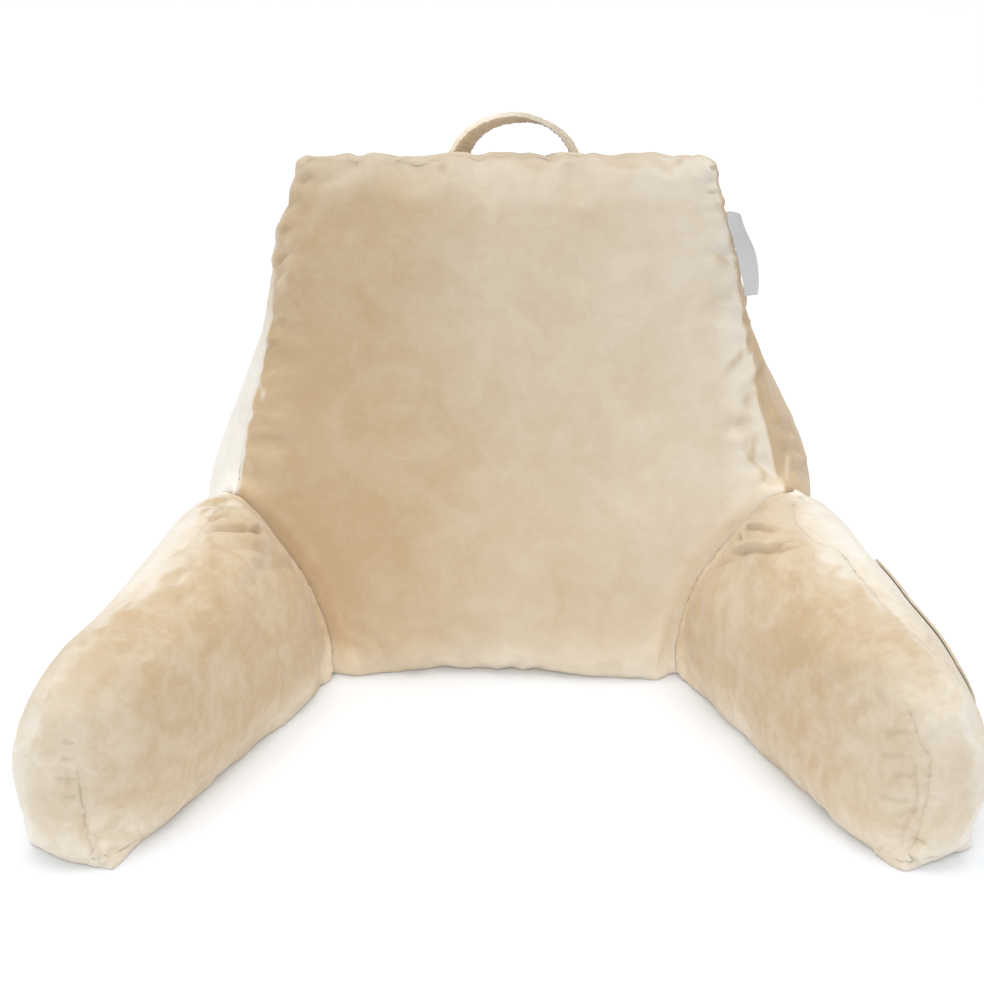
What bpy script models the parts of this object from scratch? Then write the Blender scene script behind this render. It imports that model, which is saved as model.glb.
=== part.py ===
"""A reading pillow with arms: a leaning back cushion, two arms, a strap handle, a blank tag and a pocket.

X runs across the pillow, Y from its front to its back and +Z up. The origin is the middle of the back
cushion's flat base, on the floor. Sizes are in inches, the unit of the pattern, until INCH turns the
finished points into metres.
"""

import math
from collections import namedtuple

import bmesh
import bpy
from mathutils import Vector

INCH = 0.0254

# ---- the back cushion ----
FACE_FOOT_Y = 0.35
FACE_TOP_Y, FACE_TOP_Z = 6.9, 16.9
REAR_FOOT_Y = 9.6
REAR_TOP_Y, REAR_TOP_Z = 11.2, 14.4
BASE_MIDDLE_Y = (FACE_FOOT_Y + REAR_FOOT_Y) / 2

# ---- the arms: plan angle from straight ahead, and the inner foot of the joint with the back ----
ARM_SPLAY = math.radians(30.8)
JOINT_HALF = 6.05

# ---- how far each panel swells past its seams ----
FACE_CROWN = 0.85
REAR_CROWN = 0.8
TOP_CROWN = 0.2
CAP_CROWN = 0.45
CAP_FOOT = 0.5

# ---- the uneven draw of the sewing: depth and length of its waves ----
PUCKER = 0.07
PUCKER_LENGTH = 2.3

# ---- the strap handle on the top panel ----
STRAP_WIDTH = 1.0
STRAP_THICK = 0.1
STRAP_LEFT_X, STRAP_RIGHT_X = -1.75, 2.5
STRAP_Y = 8.7
STRAP_FOOT_Z = 15.0
STRAP_RISE = 2.4
STRAP_TWIST = math.radians(14)

# ---- the blank tag in the right side seam, by height along the face ----
TAG_LOW, TAG_HIGH = 0.735, 0.895
TAG_REACH, TAG_REACH_MIDDLE = 0.44, 0.64
TAG_THICK = 0.05

# ---- the patch pocket on the outer side of the right arm, in cells of the arm's grid ----
POCKET_CELLS_LONG = (9, 17)
POCKET_CELLS_UP = (2, 10)
POCKET_THICK = 0.08
POCKET_GAPE = 0.66
POCKET_GAPE_POWER = 1.3

# Pieces stand this far apart. Corners of the back cushion's cutter move less, so it is twice the least gap.
GAP = 0.6 / 25.4

# ---- grid cells of the sewn shapes: across, along and up, or across, up and deep ----
BACK_CELLS = (28, 24, 9)
ARM_CELLS = (20, 8, 12)
STRAP_CELLS = (28, 4, 1)
TAG_CELLS = (4, 1, 8)

# The back cushion by height: the half widths of its face, left and right, and of its rear panel, and how
# far its side panels swell past their seams.
BackRow = namedtuple("BackRow", "up face_left face_right rear_left rear_right side_crown")
BACK_ROWS = (
    BackRow(0.00, 9.50, 9.60, 10.55, 10.60, 0.50),
    BackRow(0.20, 9.60, 9.75, 10.50, 10.85, 0.50),
    BackRow(0.35, 9.35, 9.75, 9.80, 10.25, 0.50),
    BackRow(0.43, 9.20, 9.45, 9.30, 9.70, 0.42),
    BackRow(0.57, 8.70, 8.85, 8.60, 8.75, 0.20),
    BackRow(0.68, 8.25, 8.35, 8.10, 8.10, 0.06),
    BackRow(0.78, 8.00, 7.95, 7.75, 7.75, 0.02),
    BackRow(0.86, 7.88, 7.60, 7.55, 7.50, 0.02),
    BackRow(0.92, 7.50, 7.35, 7.30, 7.30, 0.02),
    BackRow(1.00, 7.05, 7.05, 6.75, 6.75, 0.02),
)

# An arm by length forward of the joint. Widths are measured outwards from the inner foot, at the foot, a
# third and two thirds of the height, and the seam of each side panel.
ArmRow = namedtuple("ArmRow", "along in_low in_high in_seam up crown out_seam out_high out_low out_foot")
ARM_ROWS = (
    ArmRow(-3.0, 0.90, 2.60, 4.30, 4.95, 0.10, 5.00, 5.50, 5.40, 5.00),
    ArmRow(-1.0, 0.75, 2.10, 4.00, 5.70, 0.12, 5.00, 6.00, 5.90, 5.30),
    ArmRow(0.0, 0.30, 1.20, 3.10, 6.15, 0.22, 4.85, 6.05, 5.90, 5.25),
    ArmRow(1.5, 0.00, 0.45, 1.80, 6.48, 0.42, 4.60, 5.90, 5.80, 5.05),
    ArmRow(3.0, -0.20, 0.00, 0.95, 6.52, 0.50, 4.10, 5.50, 5.50, 4.80),
    ArmRow(6.0, -0.30, -0.20, 0.45, 6.42, 0.60, 3.50, 5.00, 5.05, 4.40),
    ArmRow(9.0, -0.25, -0.15, 0.40, 6.30, 0.60, 3.20, 4.50, 4.45, 3.90),
    ArmRow(11.0, -0.10, 0.00, 0.45, 6.20, 0.55, 3.15, 4.10, 4.00, 3.60),
    ArmRow(12.8, 0.60, 0.70, 0.75, 5.75, 0.40, 3.10, 3.65, 3.45, 3.45),
)

# How much fuller the inner panel is where it meets the back, and the outer panel at the joint and at the
# front, on the left arm and the right one.
ROOT_FULLNESS = {-1: 0.25, 1: 0.60}
ROOT_FULLNESS_ENDS = 3.0
OUTER_FULLNESS = {-1: (0.0, -0.25), 1: (0.35, -0.65)}

# The front of an arm by height: how far its inner and outer seams reach forward of the joint.
CapRow = namedtuple("CapRow", "up inner outer")
CAP_ROWS = (
    CapRow(0.00, 12.75, 12.95),
    CapRow(0.25, 13.15, 13.25),
    CapRow(0.50, 13.20, 13.35),
    CapRow(0.75, 13.00, 13.10),
    CapRow(1.00, 12.30, 12.35),
)

Finish = namedtuple("Finish", "name colour roughness")
VELOUR = Finish("beige_velour", (0.60, 0.44, 0.28, 1.0), 0.85)
TAPE = Finish("grey_tape", (0.62, 0.62, 0.63, 1.0), 0.6)


def clear_scene():
    for obj in list(bpy.data.objects):
        bpy.data.objects.remove(obj, do_unlink=True)


def collection_named(name):
    found = bpy.data.collections.new(name)
    bpy.context.scene.collection.children.link(found)
    return found


def material_for(finish):
    found = bpy.data.materials.get(finish.name)
    if found is None:
        found = bpy.data.materials.new(finish.name)
        found.use_nodes = True
        shader = found.node_tree.nodes["Principled BSDF"]
        shader.inputs["Base Color"].default_value = finish.colour
        shader.inputs["Roughness"].default_value = finish.roughness
        shader.inputs["Metallic"].default_value = 0.0
    return found


def through(places, values, at):
    """The value at a place on the smooth curve through (place, value) pairs."""
    last = len(places) - 1
    at = min(max(at, places[0]), places[-1])
    i = min(sum(place <= at for place in places), last) - 1

    def slope(k):
        low, high = max(k - 1, 0), min(k + 1, last)
        return (values[high] - values[low]) / (places[high] - places[low])

    step = places[i + 1] - places[i]
    t = (at - places[i]) / step
    blend = t * t * (3 - 2 * t)
    bend = slope(i) * (1 - t) - slope(i + 1) * t
    return values[i] + (values[i + 1] - values[i]) * blend + step * t * (1 - t) * bend


def column(rows, key, name, at):
    return through([getattr(row, key) for row in rows], [getattr(row, name) for row in rows], at)


def swell(s):
    """The height of a filled panel from seam (s = -1) to seam (s = 1): steep at its seams, broad between."""
    return (1 - abs(s) ** 2.4) ** 0.75


def pucker(distance, start=0.0):
    """Uneven gathers along a seam, at this distance along it."""
    turn = 2 * math.pi * (distance + start) / PUCKER_LENGTH
    return PUCKER * (math.sin(turn) + 0.6 * math.sin(1.7 * turn + 1.0)) / 1.6


def sewn_box(name, cells, place):
    """A box cut into cells, each point of which goes where place(x, y, z) says, from 0 to 1 each way."""
    bm = bmesh.new()
    bmesh.ops.create_cube(bm, size=1.0)
    for axis, count in enumerate(cells):
        along = [e for e in bm.edges if abs((e.verts[0].co - e.verts[1].co)[axis]) > 1e-6]
        if count > 1:
            bmesh.ops.subdivide_edges(bm, edges=along, cuts=count - 1, use_grid_fill=True)
    for vert in bm.verts:
        vert.co = place(*(vert.co + Vector((0.5, 0.5, 0.5))))
    bmesh.ops.recalc_face_normals(bm, faces=bm.faces)
    bmesh.ops.triangulate(bm, faces=bm.faces)
    if bm.calc_volume(signed=True) < 0:
        bmesh.ops.reverse_faces(bm, faces=bm.faces)
    mesh = bpy.data.meshes.new(name)
    bm.to_mesh(mesh)
    bm.free()
    mesh.shade_smooth()
    mesh.set_sharp_from_angle(angle=math.radians(50))
    return bpy.data.objects.new(name, mesh)


def to_row(point):
    """A point of the pattern, in inches from the front, as metres from the middle of the base."""
    return Vector((point.x, point.y - BASE_MIDDLE_Y, point.z)) * INCH


# ---- the back cushion ----


def face_seam(side, up):
    """The seam around the face panel, on the side -1 or 1."""
    half = column(BACK_ROWS, "up", "face_right" if side > 0 else "face_left", up)
    half += pucker(up * FACE_TOP_Z, side) * up
    return Vector((side * half, FACE_FOOT_Y + (FACE_TOP_Y - FACE_FOOT_Y) * up, FACE_TOP_Z * up))


def rear_seam(side, up):
    half = column(BACK_ROWS, "up", "rear_right" if side > 0 else "rear_left", up)
    return Vector((side * half, REAR_FOOT_Y + (REAR_TOP_Y - REAR_FOOT_Y) * up, REAR_TOP_Z * up))


def back_point(across, up, deep):
    """The back cushion's skin, where one of the three is 0 or 1."""
    face = face_seam(-1, up).lerp(face_seam(1, up), across)
    rear = rear_seam(-1, up).lerp(rear_seam(1, up), across)
    point = face.lerp(rear, deep)
    wide, tall, thick = (swell(2 * part - 1) for part in (across, up, deep))
    lean = math.atan2(FACE_TOP_Y - FACE_FOOT_Y, FACE_TOP_Z)
    fall = math.atan2(FACE_TOP_Z - REAR_TOP_Z, REAR_TOP_Y - FACE_TOP_Y)
    if deep == 0:
        point += Vector((0, -math.cos(lean), math.sin(lean))) * FACE_CROWN * wide * tall
    elif deep == 1:
        point += Vector((0, 1, 0)) * REAR_CROWN * wide * tall
    if across in (0, 1):
        point.x += (2 * across - 1) * column(BACK_ROWS, "up", "side_crown", up) * thick
    if up == 1:
        point += Vector((0, math.sin(fall), math.cos(fall))) * TOP_CROWN * wide * thick
        point.z += pucker(point.x, deep)
    return point


def make_back(name, finish):
    back = sewn_box(name, BACK_CELLS, lambda x, y, z: to_row(back_point(x, z, y)))
    back.data.materials.append(material_for(finish))
    return back


def make_cutter(back):
    """The back cushion's skin moved out by the gap, which what leans on it is cut with."""
    cutter = bpy.data.objects.new(back.name + "_cutter", back.data.copy())
    mesh = cutter.data
    outward = [normal.vector.copy() for normal in mesh.vertex_normals]
    for vert, normal in zip(mesh.vertices, outward):
        vert.co += normal * GAP * INCH
    cutter.hide_render = True
    cutter.display_type = "WIRE"
    return cutter


def fit_to_back(piece, cutter):
    cut = piece.modifiers.new("fit_to_back", "BOOLEAN")
    cut.operation = "DIFFERENCE"
    cut.solver = "EXACT"
    cut.object = cutter


# ---- the arms ----


def arm_place(side, along, out, up):
    """A point by its length along an arm, its distance out from the inner foot and its height."""
    x = JOINT_HALF + along * math.sin(ARM_SPLAY) + out * math.cos(ARM_SPLAY)
    y = -along * math.cos(ARM_SPLAY) + out * math.sin(ARM_SPLAY)
    return Vector((side * x, y, up))


def arm_seams(side, long, up):
    """The points of the inner and outer side panels at a share of the arm's length and height."""
    root = ARM_ROWS[0].along
    at = root + long * (ARM_ROWS[-1].along - root)
    row = {name: column(ARM_ROWS, "along", name, at) for name in ArmRow._fields[1:]}
    thirds = (0.0, 1 / 3, 2 / 3, 1.0)
    fuller = ROOT_FULLNESS[side] * min(1.0, max(0.0, 1 - at / ROOT_FULLNESS_ENDS))
    in_low, in_high = row["in_low"] - 0.6 * fuller, row["in_high"] - fuller
    inner = through(thirds, (0.0, in_low, in_high, row["in_seam"]), up)
    outer = through(thirds, (row["out_foot"], row["out_low"], row["out_high"], row["out_seam"]), up)
    outer += through((root, ARM_ROWS[-1].along), OUTER_FULLNESS[side], at)
    inner_along = root + long * (column(CAP_ROWS, "up", "inner", up) - root)
    outer_along = root + long * (column(CAP_ROWS, "up", "outer", up) - root)
    height = row["up"] * up
    return arm_place(side, inner_along, inner, height), arm_place(side, outer_along, outer, height)


def arm_point(side, long, across, up):
    """An arm's skin, where one of the three is 0 or 1."""
    inner, outer = arm_seams(side, long, up)
    point = inner.lerp(outer, across)
    if up == 1:
        root = ARM_ROWS[0].along
        crown = column(ARM_ROWS, "along", "crown", root + long * (ARM_ROWS[-1].along - root))
        point.z += crown * swell(2 * across - 1)
    if long == 1:
        ahead = arm_place(side, 1, 0, 0) - arm_place(side, 0, 0, 0)
        point += ahead * CAP_CROWN * swell(2 * across - 1) * min(1.0, 1.5 * up + CAP_FOOT)
    return point


def make_arm(name, side, cutter, finish):
    arm = sewn_box(name, ARM_CELLS, lambda x, y, z: to_row(arm_point(side, x, y, z)))
    arm.data.materials.append(material_for(finish))
    fit_to_back(arm, cutter)
    return arm


# ---- the handle, the tag and the pocket ----


def strap_point(along, across, up):
    """A loop that rises from its left foot and comes down at its right one, turned a little as it goes."""
    middle = (STRAP_LEFT_X + STRAP_RIGHT_X) / 2
    reach = (STRAP_RIGHT_X - STRAP_LEFT_X) / 2 + STRAP_THICK * (up - 0.5)
    rise = STRAP_RISE + STRAP_THICK * (up - 0.5)
    turn = math.pi * (1 - along)
    side = STRAP_WIDTH * (across - 0.5)
    twist = STRAP_TWIST * math.cos(turn)
    arch = Vector((middle + reach * math.cos(turn), STRAP_Y, STRAP_FOOT_Z + rise * math.sin(turn) ** 0.8))
    return arch + Vector((math.sin(twist), math.cos(twist), 0)) * side


def make_handle(name, cutter, finish):
    handle = sewn_box(name, STRAP_CELLS, lambda x, y, z: to_row(strap_point(x, y, z)))
    handle.data.materials.append(material_for(finish))
    fit_to_back(handle, cutter)
    return handle


def tag_point(out, thick, up):
    """A folded tape that stands out of the right side seam and bends forward towards its free edge."""
    seam = face_seam(1, TAG_LOW + (TAG_HIGH - TAG_LOW) * up)
    reach = GAP * 2 + (TAG_REACH + (TAG_REACH_MIDDLE - TAG_REACH) * math.sin(math.pi * up)) * out
    bend = 0.12 * out + 0.35 * out * out * up
    return seam + Vector((reach, TAG_THICK * (thick - 0.5) - 0.1 - bend, 0.12 * out))


def make_tag(name, finish):
    tag = sewn_box(name, TAG_CELLS, lambda x, y, z: to_row(tag_point(x, y, z)))
    tag.data.materials.append(material_for(finish))
    return tag


def pocket_point(side, along, thick, up):
    """A patch that lies on the arm's outer panel, sewn at its foot and ends, and gapes at its mouth."""
    long = (POCKET_CELLS_LONG[0] + along * (POCKET_CELLS_LONG[1] - POCKET_CELLS_LONG[0])) / ARM_CELLS[0]
    high = (POCKET_CELLS_UP[0] + up * (POCKET_CELLS_UP[1] - POCKET_CELLS_UP[0])) / ARM_CELLS[2]
    step = 0.01
    skin = arm_seams(side, long, high)[1]
    forward = arm_seams(side, long + step, high)[1] - skin
    upward = arm_seams(side, long, high + step)[1] - skin
    outward = forward.cross(upward).normalized()
    if outward.x * side < 0:
        outward.negate()
    gape = POCKET_GAPE * (1 - abs(2 * along - 1) ** 4) * up**POCKET_GAPE_POWER
    return skin + outward * (GAP + gape + POCKET_THICK * thick)


def make_pocket(name, side, finish):
    cells = (
        POCKET_CELLS_LONG[1] - POCKET_CELLS_LONG[0],
        1,
        POCKET_CELLS_UP[1] - POCKET_CELLS_UP[0],
    )
    pocket = sewn_box(name, cells, lambda x, y, z: to_row(pocket_point(side, x, y, z)))
    pocket.data.materials.append(material_for(finish))
    return pocket


def main():
    clear_scene()
    parts = collection_named("reading_pillow")
    cutters = collection_named("cutters")
    back = make_back("back_cushion", VELOUR)
    cutter = make_cutter(back)
    cutters.objects.link(cutter)
    pieces = (
        back,
        make_arm("arm_left", -1, cutter, VELOUR),
        make_arm("arm_right", 1, cutter, VELOUR),
        make_handle("carry_handle", cutter, VELOUR),
        make_tag("side_tag", TAPE),
        make_pocket("arm_pocket", 1, VELOUR),
    )
    for piece in pieces:
        parts.objects.link(piece)


main()
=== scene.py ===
"""The looks of a velour reading pillow: stuffed back and arms, strap handle, side pocket and blank tag."""

import sys

import logging
import math
from dataclasses import dataclass, field, replace
from enum import Enum

import bmesh
import bpy
import numpy as np
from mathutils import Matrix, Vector, noise
from mathutils.bvhtree import BVHTree

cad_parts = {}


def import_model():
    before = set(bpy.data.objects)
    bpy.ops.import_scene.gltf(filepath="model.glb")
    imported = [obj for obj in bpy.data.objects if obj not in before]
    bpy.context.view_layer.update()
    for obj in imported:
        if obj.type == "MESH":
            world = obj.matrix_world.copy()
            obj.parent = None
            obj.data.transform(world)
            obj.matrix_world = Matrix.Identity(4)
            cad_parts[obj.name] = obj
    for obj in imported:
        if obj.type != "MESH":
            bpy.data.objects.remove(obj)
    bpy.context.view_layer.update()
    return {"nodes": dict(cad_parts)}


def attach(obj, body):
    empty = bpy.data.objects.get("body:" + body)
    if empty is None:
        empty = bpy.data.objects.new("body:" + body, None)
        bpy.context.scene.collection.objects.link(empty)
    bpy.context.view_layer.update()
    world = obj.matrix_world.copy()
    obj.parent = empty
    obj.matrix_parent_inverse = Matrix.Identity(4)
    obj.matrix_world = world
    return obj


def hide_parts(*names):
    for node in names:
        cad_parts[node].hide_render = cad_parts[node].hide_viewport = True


Point = tuple[float, float, float]
Colour = tuple[float, float, float, float]

INCH = 0.0254
BODY = "root"
FLOOR_HEIGHT = 0.0
FLOOR_GAP = 0.0002  # how far the cloth's lowest points stand over the floor
WELD = 0.00002  # points of a solid nearer than this are one
BASE_FLAT = 0.0005  # a face all below this height is part of a base
BASE_HELD = 0.003  # cloth below this height doesn't swell
SEAM_HOLD = 0.010  # how far round a seam the cloth is held
FAR = 0.05  # where a line's reach ends
RIM_FAR = 0.06  # the same for the lower rim
SEAM_SEEN = 0.03  # the most that a distance from a seam is stored as
FILL_FRAMES = 20  # how many frames the filling takes to settle
CORNER_STEPS = 400  # how finely an outline is walked for its corners
TURNED_EDGE = {"limit_method": "ANGLE", "angle_limit": math.radians(50)}  # where a sheet's edge is rounded

log = logging.getLogger("reading_pillow")


# ---------------------------------------------------------------- working on one object


def only(obj: bpy.types.Object) -> bpy.types.Object:
    """Selects one object alone and makes it active.

    Args:
        obj: The object to work on.

    Returns:
        The same object.
    """
    if bpy.context.object and bpy.context.object.mode != "OBJECT":
        bpy.ops.object.mode_set(mode="OBJECT")
    bpy.ops.object.select_all(action="DESELECT")
    obj.select_set(True)
    bpy.context.view_layer.objects.active = obj
    return obj


def copy_solid(name: str, solid: bpy.types.Object) -> bpy.types.Object:
    """Copies a solid's mesh to a new object, welds it and joins its loose triangles into quads.

    Args:
        name: The new object's name.
        solid: The frame's solid.

    Returns:
        The copy.
    """
    piece = bpy.data.objects.new(name, solid.data.copy())
    bpy.context.scene.collection.objects.link(piece)
    only(piece)
    bpy.ops.object.mode_set(mode="EDIT")
    bpy.ops.mesh.select_all(action="SELECT")
    bpy.ops.mesh.remove_doubles(threshold=WELD)
    bpy.ops.mesh.tris_convert_to_quads(face_threshold=math.radians(60), shape_threshold=math.radians(75))
    bpy.ops.mesh.normals_make_consistent(inside=False)
    bpy.ops.object.mode_set(mode="OBJECT")
    for attribute in list(piece.data.attributes):
        if attribute.name.startswith("custom_normal"):
            piece.data.attributes.remove(attribute)
    return piece


def points_of(obj: bpy.types.Object) -> np.ndarray:
    """Reads the object's vertices.

    Args:
        obj: A mesh object.

    Returns:
        Rows x, y, z.
    """
    found = np.empty(len(obj.data.vertices) * 3, np.float32)
    obj.data.vertices.foreach_get("co", found)
    return found.reshape(-1, 3).astype(float)


def set_points(obj: bpy.types.Object, points: np.ndarray) -> None:
    """Moves the object's vertices to these rows x, y, z."""
    obj.data.vertices.foreach_set("co", points.astype(np.float32).ravel())
    obj.data.update()


def normals_of(obj: bpy.types.Object) -> np.ndarray:
    """Reads the object's vertex normals.

    Args:
        obj: A mesh object.

    Returns:
        Rows x, y, z.
    """
    found = np.empty(len(obj.data.vertices) * 3, np.float32)
    obj.data.vertex_normals.foreach_get("vector", found)
    return found.reshape(-1, 3).astype(float)


def skin_tree(*objs: bpy.types.Object) -> BVHTree:
    """Builds one search tree over several skins.

    Args:
        *objs: Mesh objects.

    Returns:
        The tree over all their faces.
    """
    points: list[Point] = []
    faces: list[tuple[int, ...]] = []
    for obj in objs:
        start = len(points)
        points.extend(tuple(vert.co) for vert in obj.data.vertices)
        faces.extend(tuple(start + v for v in polygon.vertices) for polygon in obj.data.polygons)
    return BVHTree.FromPolygons(points, faces)


def apply_modifier(obj: bpy.types.Object, kind: str, **settings: object) -> None:
    """Adds a modifier with these settings and applies it.

    Args:
        obj: The object to change.
        kind: The modifier's type, such as SUBSURF.
        **settings: Its settings by name.
    """
    only(obj)
    modifier = obj.modifiers.new(kind.title(), kind)
    for name, value in settings.items():
        setattr(modifier, name, value)
    bpy.ops.object.modifier_apply(modifier=modifier.name)


def subdivide(obj: bpy.types.Object, levels: int) -> None:
    """Applies a Subdivision Surface of so many levels."""
    apply_modifier(obj, "SUBSURF", levels=levels, render_levels=levels, boundary_smooth="PRESERVE_CORNERS")


def write_attribute(obj: bpy.types.Object, name: str, values: np.ndarray) -> None:
    """Stores one number a vertex, which a material can read by its name."""
    found = obj.data.attributes.get(name) or obj.data.attributes.new(name, "FLOAT", "POINT")
    found.data.foreach_set("value", values.astype(np.float32))


def smooth(value: np.ndarray, low: float, high: float) -> np.ndarray:
    """A smooth step from 0 to 1.

    Args:
        value: The values to map.
        low: Where the step begins.
        high: Where it ends, which may be below low for a falling step.

    Returns:
        One share a value.
    """
    share = np.clip((value - low) / (high - low), 0, 1)
    return share * share * (3 - 2 * share)


def lumps(points: np.ndarray, size: float, seed: float) -> np.ndarray:
    """Smooth noise from -1 to 1.

    Args:
        points: Rows x, y, z.
        size: How wide one lump is, in metres.
        seed: Shifts the pattern, so that pieces differ.

    Returns:
        One value a point.
    """
    shift = Vector((seed, seed * 1.7, seed * 2.3))
    return np.array([noise.noise(Vector(point) / size + shift) for point in points])


# ---------------------------------------------------------------- lines of sewing


@dataclass
class Line:
    """A line on the skin, through points in metres, such as a seam or a crease."""

    points: np.ndarray

    def nearest(self, points: np.ndarray, reach: float = FAR) -> tuple[np.ndarray, np.ndarray, np.ndarray]:
        """Measures how far points are from the line.

        Args:
            points: Rows x, y, z.
            reach: Points farther off than this needn't be measured.

        Returns:
            Each point's distance, how far along the line its nearest place is, and the vector from there to
            the point. A point beyond the reach has a distance of FAR or more.
        """
        distance = np.full(len(points), 1.0)
        along = np.zeros(len(points))
        vector = np.zeros((len(points), 3))
        low, high = self.points.min(axis=0) - reach, self.points.max(axis=0) + reach
        index = np.nonzero(((points > low) & (points < high)).all(axis=1))[0]
        near = points[index]
        best, best_along, best_vector = distance[index], along[index], vector[index]
        start = 0.0
        for first, second in zip(self.points[:-1], self.points[1:]):
            step = second - first
            length = float(np.linalg.norm(step))
            if length < 1e-7:
                continue
            share = np.clip((near - first) @ step / length**2, 0, 1)
            gap = near - (first + share[:, None] * step)
            size = np.linalg.norm(gap, axis=1)
            closer = size < best
            best[closer] = size[closer]
            best_along[closer] = (start + share * length)[closer]
            best_vector[closer] = gap[closer]
            start += length
        distance[index], along[index], vector[index] = best, best_along, best_vector
        return distance, along, vector

    def heading(self, along: np.ndarray) -> np.ndarray:
        """Finds the line's direction.

        Args:
            along: Places along it, in metres.

        Returns:
            One direction a place, as rows of length 1.
        """
        steps = np.diff(self.points, axis=0)
        lengths = np.linalg.norm(steps, axis=1)
        index = np.clip(np.searchsorted(np.cumsum(lengths), along, side="right"), 0, len(steps) - 1)
        return steps[index] / np.maximum(lengths[index], 1e-9)[:, None]

    def length(self) -> float:
        """Returns the line's length in metres."""
        return float(np.linalg.norm(np.diff(self.points, axis=0), axis=1).sum())

    def laid_on(self, tree: BVHTree) -> "Line":
        """Returns the same line, moved to the nearest places on a skin."""
        return Line(np.array([tuple(tree.find_nearest(Vector(point))[0]) for point in self.points]))


def smooth_line(points: list[Point], steps: int = 6) -> Line:
    """A smooth curve through a few given points.

    Args:
        points: The points, in metres.
        steps: How many pieces each stretch is cut into.

    Returns:
        The line.
    """
    given = np.array(points, float)
    padded = np.vstack([2 * given[0] - given[1], given, 2 * given[-1] - given[-2]])
    found = []
    for i in range(1, len(padded) - 2):
        before, first, second, after = padded[i - 1 : i + 3]
        square = 2 * before - 5 * first + 4 * second - after
        cube = 3 * first - before - 3 * second + after
        for t in np.arange(steps) / steps:
            found.append(0.5 * (2 * first + (second - before) * t + square * t**2 + cube * t**3))
    found.append(given[-1])
    return Line(np.array(found))


def sewn_edges(obj: bpy.types.Object, angle: float) -> list[Line]:
    """Finds the seams of a sewn solid: the chains of its sharp edges.

    Args:
        obj: The solid, with its doubles merged.
        angle: The least angle between two panels, in radians.

    Returns:
        A line for each seam between two corners.
    """
    bm = bmesh.new()
    bm.from_mesh(obj.data)
    ways: dict[int, list[int]] = {}
    for edge in bm.edges:
        if edge.is_manifold and edge.calc_face_angle() > angle:
            first, second = (vert.index for vert in edge.verts)
            ways.setdefault(first, []).append(second)
            ways.setdefault(second, []).append(first)
    places = {vert.index: np.array(vert.co, float) for vert in bm.verts}
    bm.free()
    used: set[frozenset[int]] = set()
    lines = []
    starts = [v for v in sorted(ways) if len(ways[v]) != 2] + sorted(ways)
    for start in starts:
        for following in ways[start]:
            chain = [start]
            before, here = start, following
            while frozenset((before, here)) not in used:
                used.add(frozenset((before, here)))
                chain.append(here)
                if len(ways[here]) != 2:
                    break
                onward = [v for v in ways[here] if v != before]
                if not onward:
                    break
                before, here = here, onward[0]
            if len(chain) > 2:
                lines.append(Line(np.array([places[v] for v in chain])))
    return lines


def base_outline(obj: bpy.types.Object) -> Line:
    """Walks round the flat base of a solid.

    Args:
        obj: The solid, with its doubles merged.

    Returns:
        The closed line round the base, anticlockwise from above.
    """
    bm = bmesh.new()
    bm.from_mesh(obj.data)
    onward: dict[int, int] = {}
    for edge in bm.edges:
        low = [face for face in edge.link_faces if max(vert.co.z for vert in face.verts) < BASE_FLAT]
        if len(low) == 1 and len(edge.link_faces) == 2:
            for loop in edge.link_loops:
                if loop.face is low[0]:
                    onward[loop.link_loop_next.vert.index] = loop.vert.index
    places = {vert.index: np.array(vert.co, float) for vert in bm.verts}
    bm.free()
    best: list[int] = []
    left = set(onward)
    while left:
        start = min(left)
        chain, here = [start], onward[start]
        left.discard(start)
        while here != start and here in left:
            left.discard(here)
            chain.append(here)
            here = onward[here]
        if len(chain) > len(best):
            best = chain
    return Line(np.array([places[v] for v in best + best[:1]]))


# ---------------------------------------------------------------- shader maths


class Signal:
    """A value in a material's nodes, on which Python's operators add Math nodes."""

    def __init__(self, shop: "Shader", socket: bpy.types.NodeSocket) -> None:
        """Wraps an output socket of the material that shop builds."""
        self.shop = shop
        self.socket = socket

    def _maths(self, operation: str, first: object, second: object) -> "Signal":
        """Adds one Math node on two values."""
        return self.shop.node("ShaderNodeMath", {"operation": operation}, {0: first, 1: second})

    def __add__(self, other: object) -> "Signal":
        """Adds two values."""
        return self._maths("ADD", self, other)

    __radd__ = __add__

    def __sub__(self, other: object) -> "Signal":
        """Takes the other value away."""
        return self._maths("SUBTRACT", self, other)

    def __rsub__(self, other: object) -> "Signal":
        """Takes this value away from the other."""
        return self._maths("SUBTRACT", other, self)

    def __mul__(self, other: object) -> "Signal":
        """Multiplies two values."""
        return self._maths("MULTIPLY", self, other)

    __rmul__ = __mul__


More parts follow.
